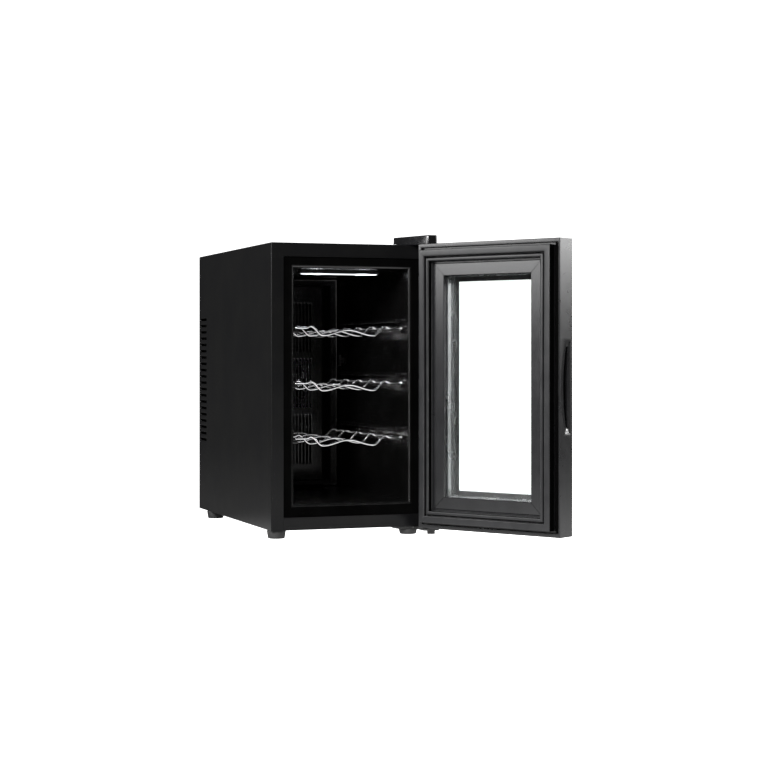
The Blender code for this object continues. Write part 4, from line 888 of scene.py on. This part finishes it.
def cover():
    """The duct over the cold fan: a slotted face between bands that slope back to its sides.

    Each loop of the bands is the face's edge grown by a length, at a depth behind the face.
    """
    low, high = corners("cold_air_cover")
    columns = spread(COVER_COLUMNS, COVER_SLOT.pitch)
    rows = (low[2] + high[2]) / 2 + spread(COVER_ROWS, COVER_ROW_PITCH)
    x = merged_lines(-COVER_FACE, *[cell_lines(column, COVER_SLOT) for column in columns], COVER_FACE)
    z_lines = [slot_lines(row, COVER_SLOT) for row in rows]
    z = merged_lines(low[2] + COVER_END, *z_lines, high[2] - COVER_END)
    cells = [slot_cell(x, z, (column, row), COVER_SLOT, 1) for row in rows for column in columns]
    patches = slotted(flat_grid(1, low[1], x, z), 1, cells, COVER_LIP, COVER_DISH)
    loops = []
    for grown, depth in (*COVER_BANDS, (COVER_BANDS[-1][0], high[1] - low[1])):
        reach = np.array((grown, min(grown, COVER_END)))
        rim = rounded_rim((x[0], z[0]) - reach, (x[-1], z[-1]) + reach, 0.0, x[1:-1], z[1:-1])
        loops.append(at_level(rim["points"], 1, low[1] + depth))
    patches.append(lofted(loops, capped=False))
    piece("air_cover", patches, LINER, "cabinet", ["cold_air_cover"], COVER_WALL, AHEAD)


def wave_height(across):
    """Height of a rack's wave: half-cosine steps between its stations, level beyond the last."""
    reach = np.minimum(abs(across), WAVE_X[-1] - 1e-9)
    station = np.searchsorted(WAVE_X, reach, side="right") - 1
    share = (reach - WAVE_X[station]) / (WAVE_X[station + 1] - WAVE_X[station])
    eased = (1 - np.cos(math.pi * share)) / 2
    return WAVE_Z[station] + (WAVE_Z[station + 1] - WAVE_Z[station]) * eased


def racks():
    """Chrome racks: two straight rods joined by waved wires that cradle a bottle on each side."""
    for name, level in zip(RACKS, RACK_LEVELS):
        low, high = corners(name)
        across = high[0] - RACK_ROD
        y = np.linspace(low[1] + RACK_ROD, high[1] - RACK_ROD, 12)
        patches = []
        for x in (-across, across):
            path = np.stack([np.full(len(y), x), y, np.full(len(y), level)], axis=1)
            patches.append(wire(path, RACK_ROD))
        x = np.linspace(-across, across, 121)
        for i in range(WAVE_COUNT):
            y = np.full(len(x), low[1] + WAVE_FIRST + i * WAVE_PITCH)
            patches.append(wire(np.stack([x, y, level + wave_height(x)], axis=1), RACK_WIRE))
        piece(name + "_wires", patches, CHROME, name, [name])


HOUSING_ROUND = 0.0012
LENS_ROUND = 0.0008


def lamp():
    """The lamp bar under the cavity's ceiling: a housing and its glowing lens."""
    housing = soft_box(*corners("lamp_housing"), HOUSING_ROUND)
    piece("lamp_bar", housing, ABS, "cabinet", ["lamp_housing"])
    lens = soft_box(*corners("lamp_lens"), LENS_ROUND)
    piece("lamp_glow", lens, LENS, "cabinet", ["lamp_lens"])


# Radii of a foot, and the depth of its hollow
FOOT_STUD = 0.003
FOOT_TOP = 0.0142
FOOT_SOLE = 0.0124
FOOT_HOLLOW = 0.0060
FOOT_DEEP = 0.002


def feet():
    """Tapered rubber feet with rounded edges, a stud on top and a hollow in the sole."""
    for name in ("foot_front_left", "foot_front_right", "foot_rear_left", "foot_rear_right"):
        low, high = corners(name)
        centre = ((low[0] + high[0]) / 2, (low[1] + high[1]) / 2, 0.0)
        top = min(high[2], -CLEARANCE)
        sole = low[2]
        profile = [(0.0, high[2]), (FOOT_STUD, high[2]), (FOOT_STUD, top), (FOOT_TOP - 0.001, top)]
        profile += [(FOOT_TOP - 0.0002, top - 0.0003), (FOOT_TOP, top - 0.001)]
        profile += [(FOOT_SOLE + 0.0004, sole + 0.0016), (FOOT_SOLE, sole + 0.0005)]
        profile += [(FOOT_SOLE - 0.0008, sole), (FOOT_HOLLOW + 0.001, sole)]
        profile += [(FOOT_HOLLOW + 0.0004, sole + 0.0004), (FOOT_HOLLOW, sole + FOOT_DEEP)]
        profile.append((0.0, sole + FOOT_DEEP))
        piece(name + "_pad", [lathe(profile, centre)], RUBBER, "cabinet", [name])


def rounded_plan(outline, radius, steps=5):
    """Arc centres and outward directions of a convex outline's rounded corners."""
    outline = np.array(outline)
    before = np.roll(outline, 1, axis=0) - outline
    after = np.roll(outline, -1, axis=0) - outline
    before /= np.linalg.norm(before, axis=1, keepdims=True)
    after /= np.linalg.norm(after, axis=1, keepdims=True)
    inward = before + after
    inward /= np.linalg.norm(inward, axis=1, keepdims=True)
    half = np.arccos(np.clip((before * after).sum(axis=1), -1, 1)) / 2
    centres = outline + inward * (radius / np.sin(half))[:, None]
    turn = np.linspace(-1, 1, steps)[None] * (math.pi / 2 - half)[:, None]
    heading = np.arctan2(-inward[:, 1], -inward[:, 0])[:, None] + turn
    directions = np.stack([np.cos(heading), np.sin(heading)], axis=-1)
    return np.repeat(centres, steps, axis=0), directions.reshape(-1, 2)


CAP_FRONT = (0.1037, 0.1207)
CAP_CORNER = 0.004
CAP_DRAFT = 0.0003
CAP_SHOULDER = 0.0022
CAP_CROWN = 0.0001
CAP_WALL = 0.0014


def hinge_cover():
    """The glossy cap over the top hinge: drafted sides, a rounded shoulder and a crowned top."""
    low, high = corners("top_hinge_cover")
    outline = [(CAP_FRONT[0], low[1]), (CAP_FRONT[1], low[1]), (high[0], high[1]), (low[0], high[1])]
    centres, directions = rounded_plan(outline, CAP_CORNER)
    base = high[2] - CAP_SHOULDER - CAP_DRAFT
    steps = [(0.0, low[2]), (CAP_DRAFT, base)]
    for angle in np.linspace(0.25, 1, 5) * math.pi / 2:
        inset = CAP_DRAFT + CAP_SHOULDER * (1 - math.cos(angle))
        steps.append((inset, base + CAP_SHOULDER * math.sin(angle)))
    loops = [at_level(centres + directions * (CAP_CORNER - inset), 2, level) for inset, level in steps]
    crown = loops[-1].mean(axis=0)
    for share in (0.5, 0.0):
        loop = crown + (loops[-1] - crown) * share
        loop[:, 2] = high[2] - CAP_CROWN * (1 + share)
        loops.append(loop)
    skin = [lofted(loops, capped=False)]
    piece("hinge_cap", skin, GLOSS, "cabinet", ["top_hinge_cover"], CAP_WALL)


# A screw head's fall to its rim and its grooves' depth as shares of its height, and the
# grooves' half width and half length as shares of its radius
HEAD_FALL = 0.55
GROOVE_DEEP = 0.6
GROOVE_WIDE = 0.17
GROOVE_LONG = 0.58


def screw(name, centre, radius, height, axis, side):
    """A pan head with a cross recess: a dome less two crossing grooves, over a short drum."""
    ring = np.linspace(0, 1, 13)[:, None] * radius
    angle = np.linspace(0, 2 * math.pi, 48, endpoint=False)
    u, v = ring * np.cos(angle), ring * np.sin(angle)
    dome = height * (1 - HEAD_FALL * (ring / radius) ** 3)
    near = np.minimum(abs(u), abs(v)) / (radius * GROOVE_WIDE)
    far = np.maximum(abs(u), abs(v)) / (radius * GROOVE_LONG)
    recess = np.clip(1.6 - np.maximum(near, far) * 1.3, 0, 1) * height * GROOVE_DEEP
    grid = np.insert(np.stack([u, v], axis=-1), axis, (dome - recess) * side, axis=-1)
    skirt = grid[-1].copy()
    skirt[:, axis] = 0.0
    grid = np.concatenate([grid, skirt[None], np.zeros((1, *skirt.shape))])
    head = [lattice(grid + np.array(centre), wrap_columns=True)]
    piece(name + "_head", head, ZINC, "cabinet", [name])


def screws():
    """The four rear screws and the two under the bottom hinge."""
    cover_back = corners("rear_cover")[1][1]
    for i in range(1, 5):
        low, high = corners(f"rear_screw_{i}")
        centre = ((low[0] + high[0]) / 2, cover_back, (low[2] + high[2]) / 2)
        screw(f"rear_screw_{i}", centre, (high[0] - low[0]) / 2, high[1] - cover_back, 1, 1)
    arm = corners("bottom_hinge_bracket")[0][2]
    for i in (1, 2):
        low, high = corners(f"bottom_hinge_screw_{i}")
        centre = ((low[0] + high[0]) / 2, (low[1] + high[1]) / 2, arm)
        screw(f"bottom_hinge_screw_{i}", centre, (high[0] - low[0]) / 2, arm - low[2], 2, -1)


GRILLE_ROWS = 14
GRILLE = Slot(0.0215, 0.0018, 0.003, 0.0075)
GRILLE_LIP = 0.0008
GRILLE_DISH = 0.0005
INLET_LIP = 0.0037


def rear():
    """The rear cover with its pressed grille and the opening for the inlet."""
    low, high = corners("rear_cover")
    fan_low, fan_high = corners("hot_fan_frame")
    inlet_low, inlet_high = corners("power_inlet")
    middles = [side * (GRILLE.margin + GRILLE.half_long) for side in (-1, 1)]
    rows = (fan_low[2] + fan_high[2]) / 2 + spread(GRILLE_ROWS, GRILLE.pitch)
    gap_x = (inlet_low[0] + INLET_LIP, inlet_high[0] - INLET_LIP)
    gap_z = (inlet_low[2] + INLET_LIP, inlet_high[2] - INLET_LIP)
    x = merged_lines(low[0], gap_x, *[slot_lines(middle, GRILLE) for middle in middles], high[0])
    z = merged_lines(low[2], gap_z, *[cell_lines(row, GRILLE) for row in rows], high[2])
    cells = [slot_cell(x, z, (middle, row), GRILLE, 0) for middle in middles for row in rows]
    inlet = block_of(x, z, gap_x, gap_z)
    patches = slotted(flat_grid(1, high[1], x, z), 1, cells, GRILLE_LIP, -GRILLE_DISH, [inlet])
    piece("rear_panel", patches, COAT, "cabinet", ["rear_cover"], SHEET, BEHIND)


# --- door, worked out shut ---

OUTER_PANE = shut_corners("outer_glass")
MIDDLE_PANE = shut_corners("middle_glass")
INNER_PANE = shut_corners("inner_glass")
TRIM_FLOOR = shut_corners("trim_top")[0][1]
DOOR_RIM_LOW = (DOOR_LOW[0], DOOR_LOW[2])
DOOR_RIM_HIGH = (DOOR_HIGH[0], DOOR_HIGH[2])
HANDLE_SPAN = HANDLE_MIDDLE + np.linspace(-POCKET_HALF, POCKET_HALF, 21)
FREE = DOOR_LOW[0]
NEARLY = 1e-6

# The pocket's lip as (growth, depth), and how much each length of the bow grows with it
POCKET_LIP = ((0.0012, 0.0), (0.0005, 0.0002), (0.0001, 0.0007), (0.0, 0.0015), (0.0, 0.0050))
LIP_GROWTH = {"half": 1, "chord": 1, "rise": 2, "end": 2}

# The insert, back to front to bottom, as (share of the way from scoop to slot, depth)
INSERT_STEPS = [(0.9, SLOT_DEPTH + 0.0012), (0.9, 0.0052), (0.0, 0.0050), (0.0, 0.0015), (0.06, 0.0016)]
INSERT_STEPS += [(0.5, 0.0022), (0.85, 0.0026), (0.96, 0.0030), (1.0, 0.0040)]
INSERT_STEPS += [(1.0, SLOT_DEPTH - 0.002), (1.01, SLOT_DEPTH - 0.0006), (1.06, SLOT_DEPTH)]

# A painted shadow strip on the channel floor: its gap to the walls, its thickness, and how far its ends stop
# short of the door's ends
SHADE_STRIP_GAP = 0.0002
SHADE_STRIP_THICK = 0.0006
SHADE_STRIP_END = 0.0066


def smoothed(profile, rounds=2):
    """Corners of a closed outline cut at a quarter and three quarters of each side, repeatedly."""
    points = np.array(profile, float)
    for _ in range(rounds):
        following = np.roll(points, -1, axis=0)
        cut = [0.75 * points + 0.25 * following, 0.25 * points + 0.75 * following]
        points = np.stack(cut, 1).reshape(-1, 2)
    return points


def carried_loops(profile, rim):
    """A profile of (inset, level) points carried round a rim, level measured along Y."""
    return np.stack([at_level(drawn_in(rim, inset), 1, level) for inset, level in profile])


def carried(profile, rim):
    """The closed skin of a closed profile carried round a rim."""
    return lattice(carried_loops(profile, rim), wrap_rows=True, wrap_columns=True)


def bow_loop(share, shape, x):
    """Shares along and across a bow as points: level in front, curved behind, in the edge's plane."""
    along, across = share[:, 0], share[:, 1]
    rise = shape["end"] + (shape["rise"] - shape["end"]) * (1 - along**2)
    y = DOOR_INNER - shape["chord"] + across * rise
    z = HANDLE_MIDDLE + shape["half"] * along
    return np.stack([np.full(len(y), x), y, z], axis=1)


def door_profile():
    """The frame's section from its inner edge round to its outer one, as (inset, level along Y)."""
    inner, outer = DOOR_INNER, DOOR_LOW[1]
    glass = OUTER_PANE[1][1] + CLEARANCE
    seat = TRIM_FLOOR - CLEARANCE
    r = DOOR_CORNER
    turn = np.linspace(0, math.pi / 2, 5)
    profile = [(r * (1 - math.cos(a)), inner - r + r * math.sin(a)) for a in turn]
    profile += [(RIM_WIDTH, inner), (RIM_WIDTH + RIM_ROUND * 2 / 3, inner - RIM_ROUND / 4)]
    profile += [(RIM_WIDTH + RIM_ROUND, inner - RIM_ROUND), (RIM_WIDTH + RIM_ROUND, inner - CHANNEL_DEPTH)]
    profile += [(CHANNEL_END, inner - CHANNEL_DEPTH), (CHANNEL_END, inner)]
    profile += [(TRIM_OUT - 2 * CLEARANCE, inner), (TRIM_OUT - CLEARANCE, inner - CLEARANCE)]
    profile += [(TRIM_OUT - CLEARANCE, seat), (FRAME_RING, seat), (FRAME_RING, glass)]
    profile += [(GLASS_RECESS, glass), (GLASS_RECESS, outer + CLEARANCE)]
    profile += [(GLASS_RECESS - CLEARANCE, outer), (r, outer)]
    profile += [(r * (1 - math.sin(a)), outer + r * (1 - math.cos(a))) for a in turn[1:]]
    return np.array(profile)


def pocket(rim):
    """The frame's side wall with a hole in its free edge, and the rolled lip of the bow there.

    The hole's edge is also given as shares along and across it, which the insert repeats.
    """
    middle = np.linspace(DOOR_INNER - POCKET_FAR, DOOR_INNER - POCKET_NEAR, 7)
    levels = merged_lines(DOOR_LOW[1] + DOOR_CORNER, middle, DOOR_INNER - DOOR_CORNER)
    side = np.stack([at_level(rim["points"], 1, level) for level in levels])
    on_free = np.flatnonzero((rim["outward"][:, 0] == -1) & np.isin(rim["points"][:, 1], HANDLE_SPAN))
    block = (1, len(levels) - 2, int(on_free.min()), int(on_free.max()))
    edge = rim_of(side, block)
    along = (edge[:, 2] - HANDLE_MIDDLE) / POCKET_HALF
    share = np.stack([along, (edge[:, 1] - levels[1]) / (levels[-2] - levels[1])], 1)
    loops = [edge]
    for grown, depth in POCKET_LIP:
        shape = {key: SCOOP[key] + LIP_GROWTH[key] * grown for key in SCOOP}
        loops.append(bow_loop(share, shape, FREE + depth))
    wall = lattice(side, wrap_columns=True, holes=[block])
    return [wall, lofted(loops, capped=False)], share


def door_ring():
    """The moulded frame: rounded edges, a rim, a gasket channel and a bow-shaped pocket.

    The channel is wider on the free side, where its outer wall stands nearer the door's edge.
    """
    rim = rounded_rim(DOOR_RIM_LOW, DOOR_RIM_HIGH, DOOR_CORNER, second=HANDLE_SPAN)
    profile = door_profile()
    skin = carried_loops(profile, rim)
    inset = profile[:, :1]
    widened = (inset > RIM_WIDTH - NEARLY) & (inset < RIM_WIDTH + RIM_ROUND + NEARLY)
    on_side = abs(skin[..., 0] - (FREE + inset)) < NEARLY
    skin[..., 0] -= np.where(widened & on_side, FREE_CHANNEL, 0.0)
    walls, share = pocket(rim)
    patches = [lattice(skin, wrap_columns=True), *walls]
    piece("door_ring", patches, ABS, "door", ["door_frame"])
    return share


def channel_shade_strip():
    """A black strip on the floor of the channel's free side: painted shadow where the deep channel falls into
    shade.
    """
    floor_y = DOOR_INNER - CHANNEL_DEPTH
    low_x = FREE + RIM_WIDTH + RIM_ROUND + SHADE_STRIP_GAP - FREE_CHANNEL
    low = (low_x, floor_y, DOOR_LOW[2] + SHADE_STRIP_END)
    high = (FREE + CHANNEL_END - SHADE_STRIP_GAP, floor_y + SHADE_STRIP_THICK, DOOR_HIGH[2] - SHADE_STRIP_END)
    piece("channel_shade_strip", soft_box(low, high, SHADE_STRIP_GAP), SHADE_BLACK, "door")


def handle(share):
    """The insert: a shallow dish from the bow's outline to a deep finger slot with a closed end."""
    loops = []
    for mix, depth in INSERT_STEPS:
        shape = {key: SCOOP[key] + (SLOT[key] - SCOOP[key]) * mix for key in SCOOP}
        shape["chord"] -= INSERT_GAP
        loops.append(bow_loop(share, shape, FREE + depth))
    patch = lofted(np.array(loops))
    piece("handle_dish", [patch], SATIN, "door", ["handle_insert"])


GASKET_CORNER = 0.001
# Painted shade sheets on the seal: where they start above the door's inner face, their thickness, and each
# one's inset and height in metres
FOLD_SHADE_START = 0.0004
FOLD_SHADE_THICK = 0.0002
FOLD_SHADES = (("outer", 0.0098, 0.0094), ("inner", 0.0271, 0.0088))

# The seal's section in millimetres, as (inset, height over the door's inner face)
GASKET_PROFILE = [
    (9.6, 0.3), (9.6, 1.4), (12.4, 2.4), (14.2, 4.6), (13.4, 8.0), (10.2, 9.6), (9.9, 11.2), (11.6, 11.6),
    (17.6, 11.5), (19.6, 11.0), (19.4, 7.6), (19.2, 5.0), (18.0, 3.6), (20.2, 2.8), (21.6, 3.6), (21.6, 7.0),
    (22.2, 10.2), (24.4, 10.6), (26.8, 10.0), (27.0, 7.2), (25.6, 5.0), (25.2, 3.2), (27.8, 2.4), (28.0, 0.3),
]


def gasket():
    """The extruded seal: a base, a magnet bulb on a bellows and an inner lip, mitred at corners, with painted
    shade on two of its walls.
    """
    profile = smoothed(GASKET_PROFILE) * 0.001
    profile[:, 1] += DOOR_INNER
    rim = rounded_rim(DOOR_RIM_LOW, DOOR_RIM_HIGH, GASKET_CORNER)
    piece("seal", [carried(profile, rim)], VINYL, "door", ["door_gasket"])
    # Thin black sheets on the bellows' outer wall and the lip's inner wall: painted shade where these walls
    # fall into shadow
    low = DOOR_INNER + FOLD_SHADE_START
    for name, inset, height in FOLD_SHADES:
        high = DOOR_INNER + height
        fold = [(inset - FOLD_SHADE_THICK, low), (inset - FOLD_SHADE_THICK, high), (inset, high), (inset, low)]
        piece(name + "_fold_shade", [carried(fold, rim)], SHADE_BLACK, "door")


def trims():
    """Four mitred glazing strips, flat on top with broken edges."""
    top = DOOR_INNER + TRIM_PROUD
    section = [(TRIM_OUT, TRIM_FLOOR), (TRIM_OUT, top - BREAK_OUT), (TRIM_OUT + BREAK_OUT, top)]
    section += [(TRIM_IN - BREAK_IN, top), (TRIM_IN, top - BREAK_IN), (TRIM_IN, TRIM_FLOOR)]
    inset, level = np.array(section).T
    centre = np.array((0.0, HANDLE_MIDDLE))
    reach = np.array((DOOR_HIGH[0], DOOR_HIGH[2] - HANDLE_MIDDLE))
    sides = (("bottom", 0, -1), ("top", 0, 1), ("handle_side", 1, -1), ("hinge_side", 1, 1))
    for name, along, side in sides:
        across = 1 - along
        loops = []
        for end in (-1, 0, 1):
            flat = np.zeros((len(section), 2))
            flat[:, along] = centre[along] + end * (reach[along] - inset - MITRE_GAP)
            flat[:, across] = centre[across] + side * (reach[across] - inset)
            loops.append(np.insert(flat, 1, level, axis=1))
        patch = lofted(np.array(loops))
        piece("strip_" + name, [patch], SATIN, "door", ["trim_" + name])


def glazing():
    """Three clear panes, the outer one's fired black border, and the metal spacers between.

    The panes cast no shadow, because light goes through them.
    """
    for name, box in (("outer", OUTER_PANE), ("middle", MIDDLE_PANE), ("inner", INNER_PANE)):
        pane = piece(name + "_pane", soft_box(*box, PANE_ROUND), GLASS, "door", [name + "_glass"])
        pane.visible_shadow = False
    rim = rounded_rim(DOOR_RIM_LOW, DOOR_RIM_HIGH, PANE_ROUND)
    low, high = OUTER_PANE[1][1] + np.array((PRINT_GAP, PRINT_GAP + PRINT_COAT))
    border = [(PRINT_EDGE, low), (PRINT_INSET, low), (PRINT_INSET, high), (PRINT_EDGE, high)]
    piece("print_border", [carried(border, rim)], PRINT, "door")
    for name in ("outer_spacer", "inner_spacer"):
        low, high = shut_corners(name)
        near = low[0] - DOOR_LOW[0]
        far = near + SPACER_WIDTH
        outline = [(near, low[1]), (far, low[1]), (far, high[1]), (near, high[1])]
        piece(name + "_bar", [carried(outline, rim)], SPACER, "door", [name])


# Lit segments, each segment's place across and up, and whether it stands upright
DIGITS = {"1": "bc", "2": "abged"}
SEGMENT_PLACES = {
    "a": (0, 1, 0), "b": (1, 0.5, 1), "c": (1, -0.5, 1), "d": (0, -1, 0), "e": (-1, -0.5, 1), "g": (0, 0, 0),
}
DIGIT_APART = 0.004
DIGIT_HALF = (0.0020, 0.0034)
SEGMENT_THIN = 0.0003
SEGMENT_GAP = 0.00003
SEGMENT_COAT = 0.00006


def digits():
    """The display's temperature in seven-segment digits, behind the outer glass."""
    low, high = shut_corners("touch_display")
    middle_z = (low[2] + high[2]) / 2
    level = OUTER_PANE[1][1] + SEGMENT_GAP
    patches = []
    for mark, middle_x in zip("12", (-DIGIT_APART, DIGIT_APART)):
        for segment in DIGITS[mark]:
            across, up, upright = SEGMENT_PLACES[segment]
            x, z = middle_x + across * DIGIT_HALF[0], middle_z + up * DIGIT_HALF[1]
            half = (SEGMENT_THIN, 0.0014) if upright else (0.0015, SEGMENT_THIN)
            box_low = (x - half[0], level, z - half[1])
            box_high = (x + half[0], level + SEGMENT_COAT, z + half[1])
            patches += soft_box(box_low, box_high, SEGMENT_COAT / 3, 1)
    piece("display_digits", patches, SEGMENTS, "door", weld=WELD / 4)


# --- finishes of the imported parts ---

KEPT_FINISH = {
    "painted_steel": COAT,
    "liner_plastic": LINER,
    "foam": FOAM,
    "black_plastic": ABS,
    "gloss_plastic": GLOSS,
    "rubber": RUBBER,
    "gasket_rubber": VINYL,
    "chrome": CHROME,
    "aluminium": EXTRUSION,
    "zinc_steel": ZINC,
    "glass": GLASS,
    "lamp_lens": LENS,
    "white_ceramic": ALUMINA,
    "circuit_board": LAMINATE,
}

shell()
liner()
liner_ribs()
cover()
racks()
lamp()
feet()
hinge_cover()
screws()
rear()
insert_share = door_ring()
channel_shade_strip()
handle(insert_share)
gasket()
trims()
glazing()
digits()

for part in frame["nodes"].values():
    for holder in part.material_slots:
        plain = holder.material.name.split(".")[0] if holder.material else ""
        holder.material = KEPT_FINISH.get(plain, ABS)
for name in ("bottom_hinge_bracket", "bottom_hinge_pin"):
    for holder in frame["nodes"][name].material_slots:
        holder.material = PHOSPHATE

# --- floor and light ---

FLOOR_REACH = 12.0
FLOOR_NEAR = 1.40
FLOOR_FAR = 0.03
FLOOR_SPOT = (0.3, -0.8, 0.0)
FLOOR_BOUNCE = 0.5
ROOM_BOUNCE = 1.5
ROOM = 0.015
WHITE = 1.55


def unreflected(tree, most):
    """1 for a ray that has only gone straight or through glass, and 0 once it has bounced.

    The room counts the ray that reaches it as a bounce, and the floor does not.
    """
    path = add(tree, "LightPath")
    bounces = {0: path.outputs["Ray Depth"], 1: path.outputs["Transmission Depth"]}
    count = add(tree, "Math", bounces, operation="SUBTRACT")
    return add(tree, "Math", {0: count.outputs[0], 1: most}, operation="LESS_THAN").outputs[0]


def floor():
    """A dark paper floor whose glow shows it pale to straight rays, and dim to reflected ones."""
    level = corners("foot_rear_left")[0][2]
    x = np.linspace(-FLOOR_REACH, FLOOR_REACH, 3)
    points, quads = lattice(flat_grid(2, level, x, x))
    data = bpy.data.meshes.new("floor")
    data.from_pydata(points.tolist(), [], quads[:, ::-1].tolist())
    item = bpy.data.objects.new("floor", data)
    bpy.context.scene.collection.objects.link(item)
    paper = Finish("floor_paper", Roughness=0.9)
    paper.tone(0.5, "#303030", "#343434")
    paper.shader.inputs["Emission Color"].default_value = linear("#ffffff")
    spot = add(paper.tree, "VectorMath", {0: paper.place, 1: FLOOR_SPOT}, operation="DISTANCE")
    limits = {"From Min": 0.4, "From Max": 1.1, "To Min": FLOOR_NEAR, "To Max": FLOOR_FAR}
    fade = add(paper.tree, "MapRange", {"Value": spot.outputs["Value"], **limits})
    glow = {0: unreflected(paper.tree, FLOOR_BOUNCE), 1: WHITE, 2: fade.outputs[0]}
    lit = add(paper.tree, "Math", glow, operation="MULTIPLY_ADD")
    paper.link(lit.outputs[0], "Emission Strength")
    data.materials.append(paper.material)


def soft_light(name, place, target, size, power):
    """A square soft light aimed at a point."""
    data = bpy.data.lights.new(name, "AREA")
    data.shape = "SQUARE"
    data.size = size
    data.energy = power
    item = bpy.data.objects.new(name, data)
    item.location = place
    item.rotation_euler = (Vector(target) - Vector(place)).to_track_quat("-Z", "Y").to_euler()
    bpy.context.scene.collection.objects.link(item)
    item.visible_camera = False
    item.visible_transmission = False


def surroundings():
    """White behind the cooler and through its glass, and a dim room in everything it reflects."""
    world = bpy.data.worlds.new("room")
    bpy.context.scene.world = world
    world.use_nodes = True
    tree = world.node_tree
    tones = {"Color1": (ROOM, ROOM, ROOM, 1.0), "Color2": (WHITE, WHITE, WHITE, 1.0)}
    seen = add(tree, "MixRGB", {"Fac": unreflected(tree, ROOM_BOUNCE), **tones})
    tree.links.new(seen.outputs[0], tree.nodes["Background"].inputs["Color"])


floor()
surroundings()
soft_light("left_box", (-1.6, -0.1, 1.05), (0.2, -0.4, 0.4), 1.2, 46.0)
soft_light("front_box", (-1.6, -2.1, 1.5), (0.0, -0.2, 0.25), 0.9, 190.0)
soft_light("right_box", (2.2, -0.6, 1.10), (0.2, -0.4, 0.4), 1.2, 64.0)
soft_light("back_left", (-1.1, 2.4, 0.9), (0.0, 0.0, 0.2), 1.8, 0.4)
soft_light("back_fill", (0.9, 2.2, 1.6), (0.0, 0.2, 0.2), 1.0, 10.0)
